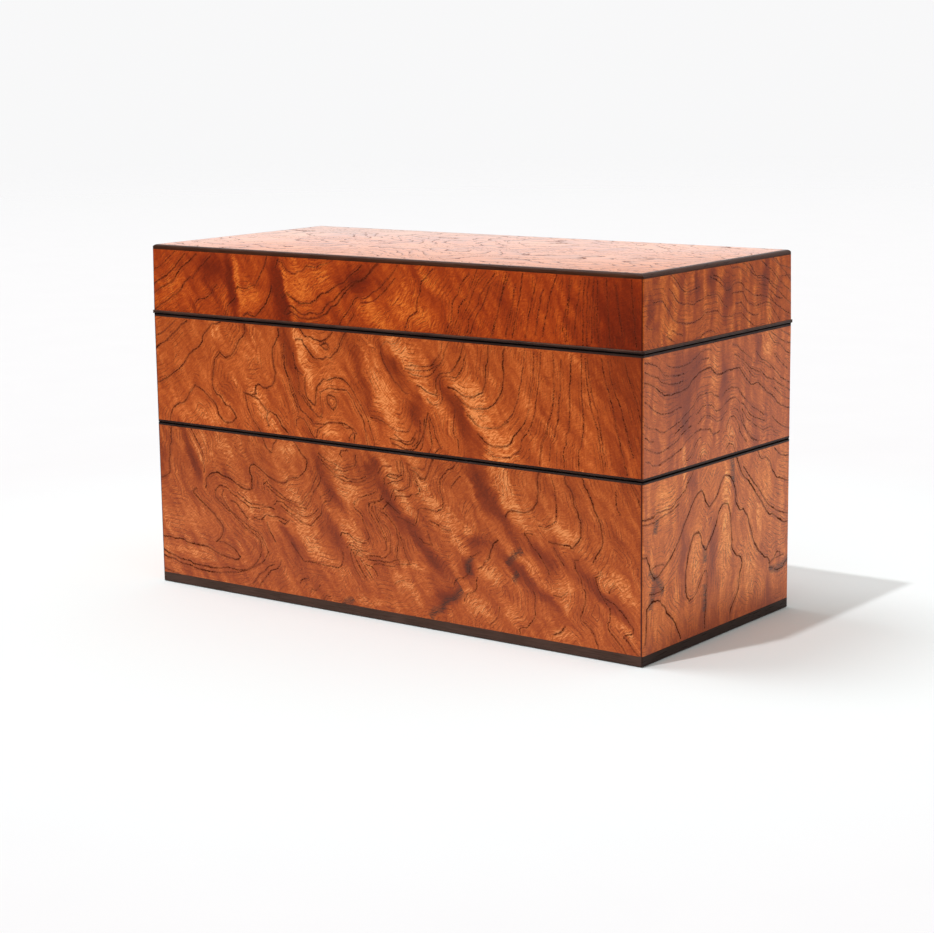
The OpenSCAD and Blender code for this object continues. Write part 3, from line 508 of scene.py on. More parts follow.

# Light and dark bands of the front: across, up, half length, half width, angle and strength.
# The two broad upright dark ones at the right end are painted shade for that end's darker light
FRONT_PATCHES = [
    (-91.5, 163, 13, 1.3, -83, 1.5), (-57.9, 162, 14, 1.4, -72, 1.5), (-96.5, 162, 13, 1.8, -80, -1.2),
    (-61.5, 158, 13, 2.2, -70, -1.3), (-50, 131, 12, 1.6, -67, 1.4), (-110, 136, 4, 0.9, -70, 1.3),
    (-83.5, 135.5, 4, 0.9, -65, 1.3), (-45, 117, 8, 1.5, -75, 1), (-122, 71, 9, 1.3, -65, 1.3),
    (-127, 66, 10, 2.2, -60, -1.2), (-13, 37, 8, 3, -30, 0.8), (22, 30, 8, 2, 0, 0.9),
    (106, 56, 10, 3, -20, 0.8), (132.5, 35, 5, 3, -50, 0.9), (145, 125, 50, 17, 90, -0.7),
    (-92, 168, 9, 2, -80, 1), (-85, 155, 8, 7, 0, 0.8), (-50, 162, 15, 9, -80, 0.8),
    (-36, 170, 10, 8, -80, 0.7), (-2, 152, 12, 5, -45, 0.9), (27, 152, 8, 6, 0, 0.8),
    (32, 170, 9, 3, -45, 0.8), (15, 158, 10, 8, 90, 0.7), (-138, 158, 14, 10, 40, 0.4),
    (-106, 137, 8, 3, -65, 0.8), (-85, 125, 14, 10, 0, 0.4), (-78, 102, 13, 6, -50, 0.8),
    (-70, 93, 5, 5, 0, 0.8), (-118, 93, 20, 8, 0, 0.5), (-49, 130, 14, 2.5, -70, 1.2),
    (-43, 135, 9, 4, -35, 1), (-35, 117, 14, 12, 0, 0.5), (-33, 93, 9, 6, 0, 0.7),
    (3.5, 110, 24, 8, -65, 1.3), (13.5, 137, 16, 6, -40, 0.9), (28, 118, 24, 4, -48, 1.3),
    (52, 118, 12, 6, -35, 0.9), (63, 107, 20, 8, -55, 1.2), (73, 93, 10, 7, 0, 1.1),
    (-110, 77, 18, 9, 0, 0.6), (-88, 48, 14, 7, -35, 0.8), (-63, 80, 9, 6, 0, 0.7),
    (-56, 53, 16, 8, -60, 0.9), (-48, 37, 18, 6, -45, 1.2), (-68, 43, 10, 3, -30, 0.8),
    (-28, 73, 16, 6, -60, 0.9), (-20, 62, 8, 5, 0, 1.2), (-20, 42, 16, 5, -60, 1.2),
    (8, 72, 20, 4, -55, 0.9), (15, 58, 6, 6, 0, 0.8), (25, 72, 16, 4, -60, 1.2), (37, 57, 18, 7, -45, 0.9),
    (48, 43, 8, 3, -40, 0.9), (53, 52, 4, 3, 0, 1.2), (73, 77, 14, 6, -70, 1.3), (82, 63, 18, 4, -50, 1.3),
    (107, 57, 12, 6, -30, 0.9), (67, 32, 9, 5, -40, 1.3), (90, 37, 18, 4, -35, 0.9),
    (108, 30, 8, 7, 90, 0.8), (110, 22, 3, 3, 0, 1.2), (107, 8, 7, 4, 0, 1.2), (80, 15, 9, 5, -50, 0.9),
    (57, 15, 14, 5, -30, 0.9), (15, 20, 12, 4, -35, 0.9), (137, 37, 20, 5, -30, 0.9),
    (142, 17, 10, 4, -35, 0.8), (-135, 35, 20, 10, 0, 0.4), (-131, 18, 24, 4, 0, 0.7),
    (-35, 25, 20, 5, -25, 0.5), (-6, 8, 20, 3, 0, 0.5), (-96, 162, 15, 3, -80, -1),
    (-63, 162, 18, 5, -78, -1.4), (-13, 168, 12, 8, 0, -0.8), (-110, 170, 14, 8, 0, -0.7),
    (138, 160, 26, 20, 90, -0.7), (-58, 132, 22, 5, -75, -1), (-8, 117, 30, 4, -65, -0.9),
    (10, 127, 14, 4, -50, -0.8), (23, 108, 12, 6, 90, -0.8), (48, 108, 24, 5, -55, -1.5),
    (60, 78, 14, 6, -60, -1.2), (72, 62, 20, 4, -50, -1.4), (95, 47, 16, 4, -35, -1),
    (-129, 73, 14, 3, -65, -1), (-40, 75, 12, 4, -55, -0.8), (-30, 60, 14, 5, -60, -0.9),
    (-30, 38, 14, 4, -60, -0.9), (-6, 77, 7, 6, 0, -0.8), (3, 64, 12, 4, -50, -0.8),
    (20, 47, 22, 4, -40, -1.4), (33, 33, 8, 4, -50, -1), (58, 47, 8, 5, 0, -1), (54, 34, 6, 4, 90, -1.3),
    (80, 38, 12, 3, -35, -1), (95, 28, 20, 4, -33, -1), (118, 42, 22, 5, -35, -0.5),
    (40, 18, 10, 5, 30, -1.4), (-60, 33, 22, 5, -55, -0.8), (133, 28, 20, 4, -35, -0.9),
    (-148, 70, 10, 6, 90, -0.5),
]

# Light and dark bands of the right end; the two long dark ones along its foot are a painted reflection of
# the shadow on the floor
SIDE_PATCHES = [
    (-20, 5, 60, 9, 0, -0.7), (50, 5, 30, 9, 0, -0.6), (-35, 128, 16, 14, 90, -0.9),
    (-32, 108, 10, 10, 0, -0.8), (-22, 135, 8, 8, 0, -0.8), (3, 125, 18, 5, 90, -0.8),
    (34, 137, 8, 4, 90, -0.8), (-22, 172, 7, 3, 90, -0.8), (-10, 173, 6, 4, 90, -0.8),
    (41, 168, 12, 4, 90, -0.8), (7, 165, 10, 4, 90, -0.8), (-62, 165, 12, 3, 90, -0.7),
    (-33, 48, 25, 5, 90, -0.9), (-25, 80, 8, 6, 90, -0.8), (-6, 35, 25, 5, 90, -0.9),
    (-14, 14, 10, 4, 90, -0.8), (14, 68, 14, 3, 90, -0.8), (-57, 35, 6, 4, 90, -0.7),
    (48, 12, 10, 3, 90, -0.7), (-5, 125, 20, 5, 90, 0.7), (9, 98, 10, 5, 90, 0.7), (7, 72, 14, 5, 90, 0.8),
    (6, 45, 20, 6, 90, 0.8), (-22, 42, 14, 6, 90, 0.7), (-32, 90, 12, 2, 90, 1.2),
    (-15, 92, 4, 3, 90, 1.2), (45, 135, 10, 6, 90, 0.7), (-44, 153, 5, 5, 0, 0.7),
    (-48, 75, 10, 10, 0, 0.6), (28, 30, 15, 10, 90, 0.6), (40, 60, 20, 14, 90, 0.4),
]


class Value:
    """One output of a graph's node. Where it is a number, the usual signs work on it."""

    def __init__(self, graph, socket):
        self.graph = graph
        self.socket = socket

    def __add__(self, other):
        return self.graph.math("ADD", self, other)

    def __sub__(self, other):
        return self.graph.math("SUBTRACT", self, other)

    def __rsub__(self, other):
        return self.graph.math("SUBTRACT", other, self)

    def __mul__(self, other):
        return self.graph.math("MULTIPLY", self, other)

    def __abs__(self):
        return self.graph.math("ABSOLUTE", self)

    __radd__ = __add__


class Graph:
    """The nodes of a material or world, written as calls that each give back a value."""

    def __init__(self, owner):
        self.owner = owner
        owner.use_nodes = True
        self.nodes = owner.node_tree.nodes
        self.links = owner.node_tree.links
        self.nodes.clear()

    def put(self, socket, value):
        if isinstance(value, Value):
            self.links.new(value.socket, socket)
        else:
            socket.default_value = value

    def node(self, kind, values=(), settings=None, **inputs):
        """A new node, with its first inputs set by the values and others by their names."""
        made = self.nodes.new("ShaderNode" + kind)
        for key, value in (settings or {}).items():
            setattr(made, key, value)
        for socket, value in zip(made.inputs, values):
            self.put(socket, value)
        for key, value in inputs.items():
            self.put(made.inputs[key.replace("_", " ")], value)
        return made

    def make(self, kind, values=(), settings=None, output=0, **inputs):
        return Value(self, self.node(kind, values, settings, **inputs).outputs[output])

    def math(self, operation, *values):
        return self.make("Math", values, {"operation": operation})

    def lowest(self, *values):
        return functools.reduce(lambda one, other: self.math("MINIMUM", one, other), values)

    def highest(self, *values):
        return functools.reduce(lambda one, other: self.math("MAXIMUM", one, other), values)

    def vector(self, operation, *values):
        return self.make("VectorMath", values, {"operation": operation})

    def position(self):
        """Where a point of the piece lies in the box's own frame, in millimetres."""
        place = self.make("TexCoord", output="Object")
        return self.make("VectorMath", (place,), {"operation": "SCALE"}, Scale=MILLIMETRES)

    def split(self, vector):
        return [Value(self, socket) for socket in self.node("SeparateXYZ", (vector,)).outputs]

    def join(self, *parts):
        return self.make("CombineXYZ", parts)

    def mapped(self, vector, at=(0, 0, 0), angle=0, scale=(1, 1, 1)):
        """The vector as something sees it that is placed at a point, turned and scaled."""
        turned = (0, 0, math.radians(angle))
        settings = {"vector_type": "TEXTURE"}
        return self.make("Mapping", (vector,), settings, Location=at, Rotation=turned, Scale=scale)

    def noise(self, vector, size, detail=2.0, roughness=0.5, output="Fac"):
        """Noise whose features are about size millimetres wide, from 0 to 1."""
        return self.make("TexNoise", (), None, output, Vector=vector, Scale=1 / size, Detail=detail,
                         Roughness=roughness)

    def stirred(self, vector, place, size, detail, reach):
        """The vector pushed about by noise at a place, by up to about half the reach."""
        push = self.vector("SUBTRACT", self.noise(place, size, detail, output="Color"), (0.5, 0.5, 0.5))
        return self.vector("MULTIPLY_ADD", push, reach, vector)

    def ramp(self, value, low, high, start=0.0, end=1.0):
        """Goes from start to end as the value goes from low to high."""
        return self.make("MapRange", (value, low, high, start, end), {"interpolation_type": "SMOOTHSTEP"})

    def mix(self, factor, a, b):
        return self.make("MixRGB", (factor, a, b))

    def colours(self, value, stops):
        """A colour ramp through stops, each a place from 0 to 1 and a linear colour."""
        made = self.node("ValToRGB", (value,))
        elements = made.color_ramp.elements
        while len(elements) < len(stops):
            elements.new(0.5)
        for element, (place, colour) in zip(elements, stops):
            element.position = place
            element.color = (*colour, 1)
        return Value(self, made.outputs[0])

    def end(self, kind, surface):
        """Shows the surface on the graph's material or world."""
        self.put(self.nodes.new("ShaderNodeOutput" + kind).inputs["Surface"], surface)

    def finish(self, colour, roughness, height, bump_distance, specular=0.5, coat=0.0, pores=None,
               pore_colour=None):
        """Ends the graph in a lacquered surface, with open pores that the lacquer doesn't fill."""
        bump = self.make("Bump", Height=height, Strength=1.0, Distance=bump_distance)
        surface = self.make("BsdfPrincipled", Base_Color=colour, Roughness=roughness, Normal=bump, IOR=1.5,
                            Specular_IOR_Level=specular, Coat_Weight=coat, Coat_Roughness=0.12)
        if pores is not None:
            matt = self.make("BsdfDiffuse", Color=pore_colour)
            surface = self.make("MixShader", (pores, surface, matt))
        self.end("Material", surface)
        return self.owner


def new_graph(name):
    """An empty graph in a new material of that name."""
    return Graph(bpy.data.materials.new(name))


def turn(a, b):
    """The angle from one heading to another, from -180 to 180 degrees."""
    return (b - a + 180) % 360 - 180


def direction(angle):
    """The cosine and sine of an angle in degrees."""
    return math.cos(math.radians(angle)), math.sin(math.radians(angle))


def cut_into_runs(line, low, high):
    """Cuts a line into runs, each as its heading and its points along and across that heading."""
    pieces = []
    heading = None
    corners = list(zip(line[::2], line[1::2]))
    for start, end in zip(corners, corners[1:]):
        if max(start[1], end[1]) < low or min(start[1], end[1]) > high:
            heading = None
            continue
        bearing = math.degrees(math.atan2(end[1] - start[1], end[0] - start[0]))
        if heading is None or abs(turn(heading, bearing)) > BEND:
            heading = round(bearing / HEADINGS) * HEADINGS % 360
            pieces.append((heading, [start]))
        pieces[-1][1].append(end)
    runs = []
    for heading, points in pieces:
        if heading >= 180:
            heading -= 180
            points = points[::-1]
        cosine, sine = direction(heading)
        runs.append((heading, [(x * cosine + z * sine, z * cosine - x * sine) for x, z in points]))
    return runs


def stretch(points, extra):
    """Lengthens a run at both ends along its own slope, so that neighbouring runs meet."""
    (u0, v0), (u1, v1) = points[0], points[1]
    (u2, v2), (u3, v3) = points[-2], points[-1]
    first = (u0 - extra, v0 - extra * (v1 - v0) / (u1 - u0))
    last = (u3 + extra, v3 + extra * (v3 - v2) / (u3 - u2))
    return [first] + points + [last]


def share_out(runs, gap):
    """Puts runs that don't overlap along their heading on one track, to be drawn by one curve."""
    tracks = []
    for run in sorted(runs):
        free = next((track for track in tracks if track[-1][-1][0] + gap < run[0][0]), None)
        if free is None:
            tracks.append([run])
        else:
            free.append(run)
    return tracks


def track_distance(graph, share, across, track, low, high):
    """The distance to the track's line, measured across the heading."""
    made = graph.node("FloatCurve", Value=share)
    mapping = made.mapping
    mapping.use_clip = False
    curve = mapping.curves[0]
    curve.points[0].location = (0, FAR)
    curve.points[1].location = (1, FAR)
    for run in track:
        lead = (run[0][0] - 0.05, FAR)
        tail = (run[-1][0] + 0.05, FAR)
        inner = set(run[1:-1])
        for u, v in [lead] + run + [tail]:
            point = curve.points.new((u - low) / (high - low), v)
            point.handle_type = "AUTO_CLAMPED" if (u, v) in inner else "VECTOR"
    mapping.update()
    return abs(across - Value(graph, made.outputs[0]))


def line_distance(graph, across, up, lines, width, low, high):
    """The distance to the nearest of the lines that pass between two heights."""
    by_heading = {}
    for line in lines:
        for heading, points in cut_into_runs(line, low, high):
            by_heading.setdefault(heading, []).append(points)
    gaps = []
    for heading, runs in sorted(by_heading.items()):
        cosine, sine = direction(heading)
        ends = [x * cosine + z * sine for x in (-width, width) for z in (low, high)]
        start, end = min(ends) - 4, max(ends) + 4
        pitch = (end - start) / TABLE_STEPS
        aside = up * cosine - across * sine
        share = (up * sine + across * cosine - start) * (1 / (end - start))
        for track in share_out([stretch(points, 1.2 * pitch) for points in runs], 3 * pitch):
            gaps.append(track_distance(graph, share, aside, track, start, end))
    return graph.lowest(*gaps) if gaps else FAR


def patch_sum(graph, flat, patches, low, high):
    """Adds up soft patches of (across, up, half length, half width, angle, strength)."""
    total = 0
    for across, up, length, width, angle, strength in patches:
        if low <= up + length and up - length <= high:
            spread = (length * PATCH_SPREAD, width * PATCH_SPREAD, 1)
            local = graph.mapped(flat, (across, up, 0), angle, spread)
            soft = graph.make("TexGradient", (local,), {"gradient_type": "QUADRATIC_SPHERE"}, "Fac")
            total = graph.math("MULTIPLY_ADD", soft, strength, total)
    return total


def streaks(graph, flat, angle, length, width, detail=2.0):
    """Noise drawn out along an angle."""
    return graph.noise(graph.mapped(flat, angle=angle, scale=(length, width, 1)), 1, detail, 0.55)


def folds(graph, flat, angle, length, width):
    """The light and dark sides of folds that run along an angle."""
    step = 0.45 * width
    cosine, sine = direction(angle + 90)
    beside = graph.vector("ADD", flat, (step * cosine, step * sine, 0))
    return streaks(graph, flat, angle, length, width) - streaks(graph, beside, angle, length, width)


def flattened(graph, place, axes):
    """A place with only two of its coordinates, the first two of the vector."""
    parts = graph.split(place)
    return graph.join(parts[axes[0]], parts[axes[1]], 0)


def silk(graph, place, axes, tone, patches, low, high):
    """How light the figure is at a place: broad bands, folds and fibres, from about 0 to 1."""
    angle = tone["fibre_angle"]
    rolled = graph.stirred(place, place, 13, 2, (8, 8, 8))
    flat = flattened(graph, rolled, axes)
    fibre = streaks(graph, flat, angle, 4.5, 0.42, 3)
    # The bands end in ragged flames along the fibres
    cosine, sine = direction(angle)
    flame = streaks(graph, flat, angle, 6, 0.6) * 4 - 2
    torn = graph.vector("ADD", flat, graph.join(flame * cosine, flame * sine, 0))
    sheen = patch_sum(graph, torn, patches, low, high)
    broad = folds(graph, torn, tone["fold_angle"], 24, 7) * tone["relief"] + sheen * tone["sheen"]
    # Strong patches level off instead of running past the lightest or darkest wood
    broad = graph.math("TANH", broad * (1 / SWING)) * SWING
    # The fibres show most where the figure is light, and hardly in its troughs
    lit = graph.ramp(broad, -0.08, 0.3)
    hatch = streaks(graph, flat, angle + 22, 3.2, 0.7, 1)
    value = broad + tone["level"]
    value += folds(graph, flat, tone["fold_angle"], 10, 2.6) * tone["ripple"]
    value += (graph.noise(rolled, 24, 3) - 0.5) * tone["curl"]
    value += (hatch - 0.5) * (lit + 0.15) * tone["hatch"]
    value += (graph.noise(rolled, 0.75, 1) - 0.5) * tone["grain"]
    value += (fibre - 0.5) * (lit + 0.3) * tone["fibre"]
    return value, flat, fibre, lit


def painted_corner_shade(graph, place):
    """1 on the rounded upright corners of the boards, where a painted shade darkens them, and 0 elsewhere.
    """
    wide, deep = graph.split(place)[:2]
    return (graph.ramp(abs(wide), HALF_WIDTH - 1.3, HALF_WIDTH - 0.6)
            * graph.ramp(abs(deep), HALF_DEPTH - 1.3, HALF_DEPTH - 0.6))


def figured_face(name, axis, lines, patches, tier, tone):
    """Figured wood for a tier's boards along one axis, with bold, fine and dotted lines and stains."""
    low, high = TIERS[tier]
    width, reach = (HALF_WIDTH, HALF_DEPTH) if axis == 0 else (HALF_DEPTH, HALF_WIDTH)
    graph = new_graph(name)
    place = graph.position()
    # Small wobbles make the lines as ragged as open pores
    bent = graph.stirred(place, place, 5, 2, (1.5, 1.5, 1.5))
    bent = graph.stirred(bent, place, 1.1, 1, (0.8, 0.8, 0.8))
    parts = graph.split(bent)
    gaps = [line_distance(graph, parts[axis], parts[2], kind, width, low, high) for kind in lines]
    stain = gaps.pop()
    nearest = graph.lowest(*gaps)
    value, flat, fibre, lit = silk(graph, place, (axis, 2), tone, patches, low - 4, high + 4)
    # Faint growth bands run beside the lines
    along, above = graph.split(flat)[:2]
    growth = graph.noise(graph.join(along * 0.1, above * 0.1, nearest), 0.9, 2)
    value += (growth - 0.5) * (lit + 0.3) * tone["growth"]
    wood = graph.colours(value, tone["stops"])
    # The lines are strings of pores, so their width swells and pinches
    pores = graph.noise(place, 0.62, 1)
    swell = 0.65 - pores * 1.3
    # Finer rows of pores echo the drawn lines, at nearly even distances from them
    echo = graph.math("FRACT", nearest * 0.45 + graph.noise(place, 22, 1) * 0.8)
    echo = graph.ramp(echo + pores * 0.5, 0.3, 0.46, 0.75, 0)
    echo *= graph.ramp(graph.noise(place, 11, 1), 0.42, 0.6)
    wider = tone["wider"]
    cores = []
    shades = [echo]
    for gap, (full, gone, strength, swelling, beside, dark) in zip(gaps, LINE_KINDS):
        cores.append(graph.ramp(gap + swell * swelling, full + wider, gone + wider, strength, 0))
        shades.append(graph.ramp(gap, 0, beside, dark, 0))
    # Along its length a line grows fainter and stronger
    core = graph.highest(*cores) * graph.ramp(graph.noise(place, 8, 2), 0.38, 0.62, 0.5, 1)
    wood = graph.mix(graph.highest(*shades), wood, BESIDE_LINES)
    smear = graph.ramp(stain, 0.4, 3.2, 1, 0) * graph.ramp(fibre, 0.35, 0.6, 0.15, 0.85)
    wood = graph.mix(smear, wood, STAIN)
    # The front and back boards get a painted shade along their rounded upright corners
    if axis == 0:
        wood = graph.mix(painted_corner_shade(graph, place), wood, CORNER_PAINTED_SHADE)
    # Inside, the boards are plainer: no ring lines and a quieter figure
    depth = reach - abs(graph.split(place)[1 - axis])
    outside = graph.ramp(depth, *OUTSIDE_TO, 1, 0)
    wood = graph.mix((1 - outside) * 0.65, wood, (*tone["stops"][2][1], 1))
    core *= outside
    return graph.finish(wood, tone["roughness"], fibre * 0.15 - core, 0.0001, specular=tone["specular"],
                        pores=core, pore_colour=tone["line"])


def lid_top(tone):
    """The lid's top panel, whose ring lines follow the contours of slow noise."""
    graph = new_graph("lid_top_wood")
    place = graph.position()
    value, flat, fibre = silk(graph, place, (0, 1), tone, [], 0, 0)[:3]
    bent = graph.stirred(flattened(graph, place, (0, 1)), place, 2.2, 2, (1.6, 1.6, 0))
    bent = graph.stirred(bent, place, 7, 1, (3, 9, 0))
    field = graph.noise(graph.mapped(bent, scale=(120, 46, 1)), 1, 1.3)
    rings = graph.math("FRACT", field * 24 + 0.4)
    breaks = graph.noise(place, 1.2, 1)
    flecks = streaks(graph, flat, tone["fibre_angle"], 3.5, 0.7, 1)
    core = graph.highest(
        graph.ramp(rings, 0.05, 0.16, 1, 0) * graph.ramp(breaks, 0.35, 0.6, 0, 0.9),
        graph.ramp(flecks, 0.66, 0.76, 0, 0.6),
    )
    # Painted reflection: the top is painted more orange along the front and at the right, where its lacquer
    # mirrors less of the bright room, and paler at the back on the left, where it mirrors more
    wide, deep = graph.split(place)[:2]
    ahead = wide * 0.4 - deep
    wood = graph.colours(value, tone["stops"])
    wood = graph.mix(graph.ramp(ahead, -15, 80, 0, 0.8), wood, TOP_PAINTED_ORANGE)
    wood = graph.mix(graph.ramp(ahead, -110, -20, 0.3, 0), wood, TOP_PAINTED_PALE)
    wood = graph.mix(graph.ramp(rings, 0, 0.55, 0.5, 0), wood, TOP_SHADE)
    height = fibre * 0.015 - core * 0.1
    for edge in (HALF_WIDTH - abs(wide), HALF_DEPTH - abs(deep)):
        inside = graph.highest(CROWN_REACH - edge, 0)
        height -= inside * inside * (CROWN_BEND / 2)
    return graph.finish(wood, 0.3, height, 0.001, specular=0.45, coat=0.12, pores=core,
                        pore_colour=TOP_PORES)


def edging_wood():
    """The dark strips: close-grained wood under the same lacquer."""
    graph = new_graph("dark_edging_wood")
    place = graph.position()
    wide, deep, height_up = graph.split(place)
    grain = graph.noise(graph.mapped(place, scale=(9, 9, 0.5)), 1, 3)
    cloud = graph.noise(place, 18, 2)
    value = cloud * 0.4 + grain * 0.6
    wood, warm, light = [graph.colours(value, stops) for stops in (SEAM_STRIPS, TOP_STRIPS, BASE_RAILS)]
    # The lid's top strips are a warmer brown, and the front and back base rails a lighter one, whose ends
    # get a painted shade
    wood = graph.mix(graph.ramp(height_up, *TOP_STRIPS_FROM), wood, warm)
    ends = graph.ramp(abs(wide), HALF_WIDTH - 0.8, HALF_WIDTH - 0.4, 0, 0.6)
    wood = graph.mix(graph.ramp(height_up, *RAILS_UP_TO, 1, 0), wood, graph.mix(ends, light, RAIL_ENDS_PAINTED_SHADE))
    # Only the outer edge of a seam is dark, a painted shade for the gap between the tiers, sunk and
    # roughened too; the rest of the rim shows its wood when the tiers part
    groove_and_shade = graph.ramp(graph.lowest(*[abs(height_up - seam) for seam in SEAMS]), 0.1, 0.6, 1, 0)
    groove_and_shade *= graph.ramp(graph.highest(abs(wide) - HALF_WIDTH, abs(deep) - HALF_DEPTH), -1.4, -0.6)
    wood = graph.mix(groove_and_shade, wood, SEAM_PAINTED_SHADE)
    # A painted highlight along the bead's upper arris, broken up by the cloud noise
    bead_highlight = graph.ramp(abs(height_up - BEAD_ARRIS), 0.15, 0.4, 1, 0)
    wood = graph.mix(bead_highlight * graph.ramp(cloud, 0.35, 0.6, 0.2, 0.75), wood, BEAD_PAINTED_HIGHLIGHT)
    rough = graph.highest(graph.ramp(grain, 0.3, 0.7, 0.26, 0.38), groove_and_shade)
    return graph.finish(wood, rough, grain * 0.04 - groove_and_shade * 0.4, 0.001, specular=0.08)


def plain_wood():
    """The wood of the panels and lips inside: straight-grained and unfigured."""
    graph = new_graph("plain_inner_wood")
    place = graph.position()
    bands = graph.noise(graph.mapped(place, scale=(40, 1.6, 1.6)), 1, 4)
    dashes = graph.ramp(graph.noise(graph.mapped(place, scale=(4, 0.35, 0.35)), 1, 1), 0.62, 0.72)
    wood = graph.mix(dashes * 0.6, graph.colours(bands, PLAIN), PLAIN_PORES)
    return graph.finish(wood, 0.5, dashes * -1, 0.00008)


def make_camera():
    """The photograph's camera."""
    across, ahead = direction(CAMERA_AZIMUTH - 90)
    reach, rise = direction(CAMERA_ELEVATION)
    back = Vector((across * reach, ahead * reach, rise))
    level = back.cross(Vector((0, 0, -1))).normalized()
    upright = back.cross(level)
    cosine, sine = direction(CAMERA_ROLL)
    right = level * cosine + upright * sine
    up = upright * cosine - level * sine
    lens = bpy.data.cameras.new("photo_camera")
    lens.sensor_width = SENSOR_WIDTH
    lens.lens = FOCAL_PIXELS / IMAGE_WIDTH * SENSOR_WIDTH
    lens.clip_end = 50
    camera = bpy.data.objects.new("photo_camera", lens)
    bpy.context.scene.collection.objects.link(camera)
    turned = Matrix((right, up, back)).transposed().to_4x4()
    camera.matrix_world = Matrix.Translation(CAMERA_AT) @ turned
    bpy.context.scene.camera = camera
    bpy.context.scene.view_settings.view_transform = "Standard"


def make_floor():
    """A plain pale floor that runs on past the picture."""
    mesh = bpy.data.meshes.new("floor")
    corners = [(x * FLOOR_REACH, y * FLOOR_REACH, 0) for x, y in ((-1, -1), (1, -1), (1, 1), (-1, 1))]
    mesh.from_pydata(corners, [], [(0, 1, 2, 3)])
    floor = bpy.data.objects.new("floor", mesh)
    bpy.context.scene.collection.objects.link(floor)
    floor.location.z = -FLOOR_DROP
    graph = new_graph("floor_paper")
    place = graph.position()
    wide, deep = graph.split(place)[:2]
    away = graph.make("VectorMath", (place,), {"operation": "LENGTH"}, "Value")
    paper = graph.colours(graph.noise(place, 60, 2), PAPER)
    # As the camera sees it, the floor is painted a little paler round the box, a painted light that lifts
    # the soft shade the box casts there
    painted_paler = graph.ramp(away, *FLOOR_PAINTED_PALER_TO, 1, 0) * graph.make("LightPath", output="Is Camera Ray")
    paper = graph.mix(painted_paler, paper, PAPER_PAINTED_PALER)
    # Far in front and far to the right the floor is painted dark for reflections only, a painted shade for
    # unlit floor, so it shows dark in the lacquer
    painted_dim = graph.highest(graph.ramp(deep * -1, *FLOOR_DIMS_AHEAD), graph.ramp(wide, *FLOOR_DIMS_ASIDE))
    paper = graph.mix(painted_dim * graph.make("LightPath", output="Is Glossy Ray"), paper, PAPER_PAINTED_DIM)
    matt = graph.make("BsdfDiffuse", Color=paper)
    clear = graph.make("BsdfTransparent")
    graph.end("Material", graph.make("MixShader", (graph.ramp(away, *FLOOR_ENDS), matt, clear)))
    mesh.materials.append(graph.owner)


def make_lights():
    """Even studio light from all round, a small lamp high in front and a broad one high on the left."""
    world = bpy.data.worlds.new("studio")
    bpy.context.scene.world = world
    graph = Graph(world)
    mirrored = graph.make("LightPath", output="Is Glossy Ray")
    seen = graph.make("LightPath", output="Is Camera Ray")
    deep, height_up = graph.split(graph.make("TexCoord", output="Generated"))[1:]
    # Reflections show a bright band just above the floor and a dimmer room over it
    room = graph.ramp(height_up, *BRIGHT_BAND, BRIGHT_ROOM, HIGH_ROOM)
    room *= graph.ramp(height_up, -0.03, 0)
    room *= graph.ramp(deep, -0.3, 0.3, ROOM_AHEAD, 1)
    level = graph.highest((room - AMBIENT) * mirrored + AMBIENT, seen)
    # What the room casts on matt surfaces is a little warm, as the photographed shadow is
    colour = graph.mix(graph.highest(mirrored, seen), ROOM_WARM, ROOM_WHITE)
    graph.end("World", graph.make("Background", Color=colour, Strength=level))
    for name, strength, spread, towards in LAMPS:
        lamp = bpy.data.lights.new(name, "SUN")
        lamp.energy = strength
        lamp.angle = math.radians(spread)
        holder = bpy.data.objects.new(name, lamp)
        bpy.context.scene.collection.objects.link(holder)
        holder.rotation_euler = Vector(towards).to_track_quat("Z", "Y").to_euler()


# The wood's own colours from trough to highlight, as linear values
STOPS = [
    (0.0, (0.10, 0.010, 0.001)),
    (0.3, (0.26, 0.036, 0.003)),
    (0.5, (0.42, 0.078, 0.009)),
    (0.7, (0.58, 0.140, 0.024)),
    (1.0, (0.80, 0.285, 0.080)),
]


def toned(red, green, blue):
    """The wood's colours with each channel changed by a factor."""
    return [(place, (stop[0] * red, stop[1] * green, stop[2] * blue)) for place, stop in STOPS]
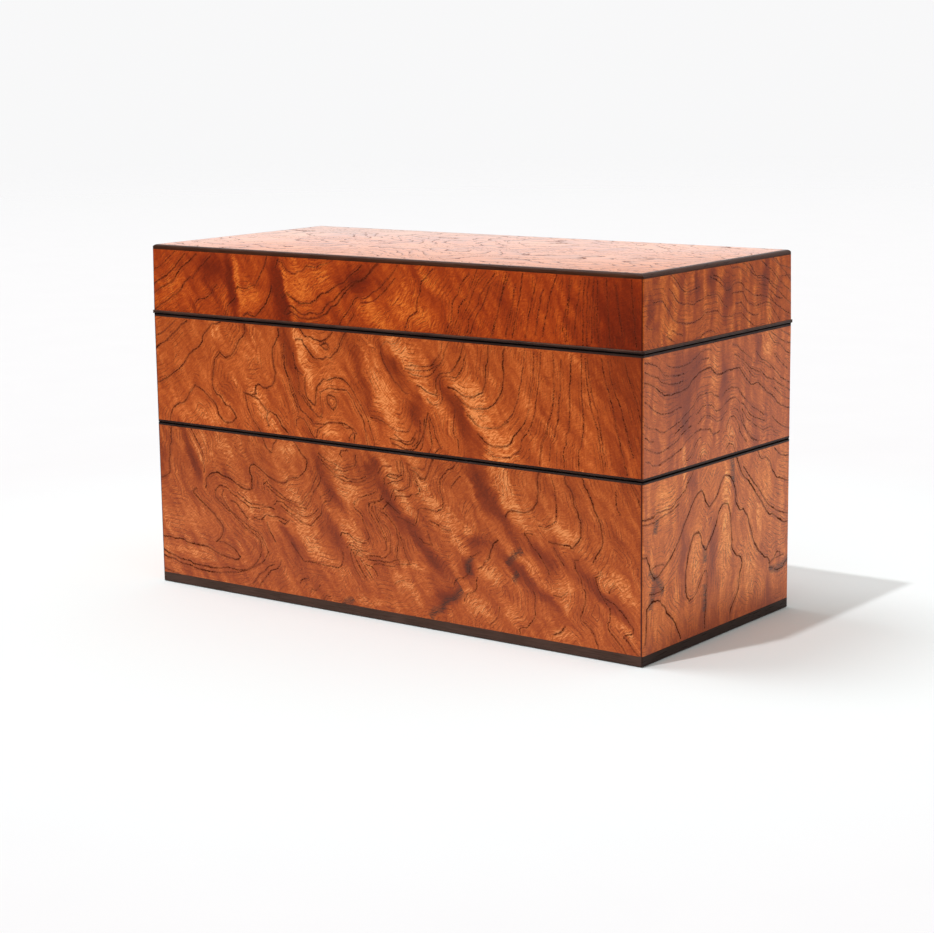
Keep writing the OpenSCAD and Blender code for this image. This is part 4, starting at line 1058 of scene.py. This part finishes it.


# How strong each part of the figure is, and how the lines and the lacquer look.
# Each tier's and side's colour factors are partly the boards' own colour and partly painted light:
# the ends are painted lighter for the dimmer light on them, and each tier paler or deeper for the paler or
# darker reflection in its lacquer
FRONT_TONE = {
    "level": 0.5, "sheen": 0.5, "relief": 0.55, "ripple": 0.16, "curl": 0.2, "fibre": 0.85, "hatch": 0.8,
    "grain": 0.2, "growth": 0.8, "fibre_angle": 22, "fold_angle": -56, "wider": 0,
    "line": (0.058, 0.011, 0.004, 1), "roughness": 0.3, "specular": 0.22, "stops": STOPS,
}
FRONT_TONES = {
    "lower": dict(FRONT_TONE, sheen=0.46, relief=0.48, specular=0.28, stops=toned(1.08, 1.08, 1.15)),
    "upper": dict(FRONT_TONE, relief=0.5, specular=0.24, stops=toned(1.18, 1.12, 1.1)),
    "lid": dict(FRONT_TONE, sheen=0.75, specular=0.2, stops=toned(1.0, 0.66, 0.25)),
}
SIDE_TONE = dict(FRONT_TONE, fibre_angle=-4, fold_angle=88, relief=0.52, ripple=0.18, hatch=0.5, fibre=0.65,
                 specular=0.35, stops=toned(1.32, 1.42, 1.4))
SIDE_TONES = {
    "lower": dict(SIDE_TONE, sheen=0.46, relief=0.45, wider=0.12, stops=toned(1.56, 1.9, 1.9)),
    "upper": SIDE_TONE,
    "lid": dict(SIDE_TONE, sheen=0.85, relief=0.8, specular=0.22, stops=toned(1.2, 1.18, 0.8)),
}
# The lid's top colours are partly painted light: lighter, for the strong light from above
TOP_TONE = dict(FRONT_TONE, fibre_angle=4, fold_angle=75, relief=0.6, ripple=0.35, curl=0.8, stops=[
    (0.0, (0.24, 0.036, 0.004)),
    (0.3, (0.47, 0.094, 0.012)),
    (0.5, (0.69, 0.174, 0.025)),
    (0.7, (0.78, 0.235, 0.042)),
    (1.0, (0.86, 0.340, 0.080)),
])


def dress():
    """Gives each node the wood of its place."""
    edging = edging_wood()
    plain = plain_wood()
    front_lines = (FRONT_BOLD, FRONT_FINE, FRONT_DOTTED, FRONT_STAIN)
    side_lines = (SIDE_BOLD, SIDE_FINE, [], SIDE_STAIN)
    sides = [
        ("front", front_lines, FRONT_PATCHES, FRONT_TONES),
        ("side", side_lines, SIDE_PATCHES, SIDE_TONES),
    ]
    panel = lid_top(TOP_TONE)
    woods = {}
    for tier in TIERS:
        for axis, (side, lines, patches, tones) in enumerate(sides):
            woods[tier, axis] = figured_face(f"{tier}_{side}_wood", axis, lines, patches, tier, tones[tier])
    for name, node in frame["nodes"].items():
        slot = node.data.materials[0].name
        tier = name.split("_")[0]
        if name == "lid_top_panel":
            wood = panel
        elif slot.startswith("figured_wood"):
            axis = 0 if "front" in name or "back" in name else 1
            wood = woods[tier, axis]
        elif slot.startswith("dark_edging"):
            wood = edging
        else:
            wood = plain
        node.data.materials[0] = wood


make_camera()
make_floor()
make_lights()
dress()
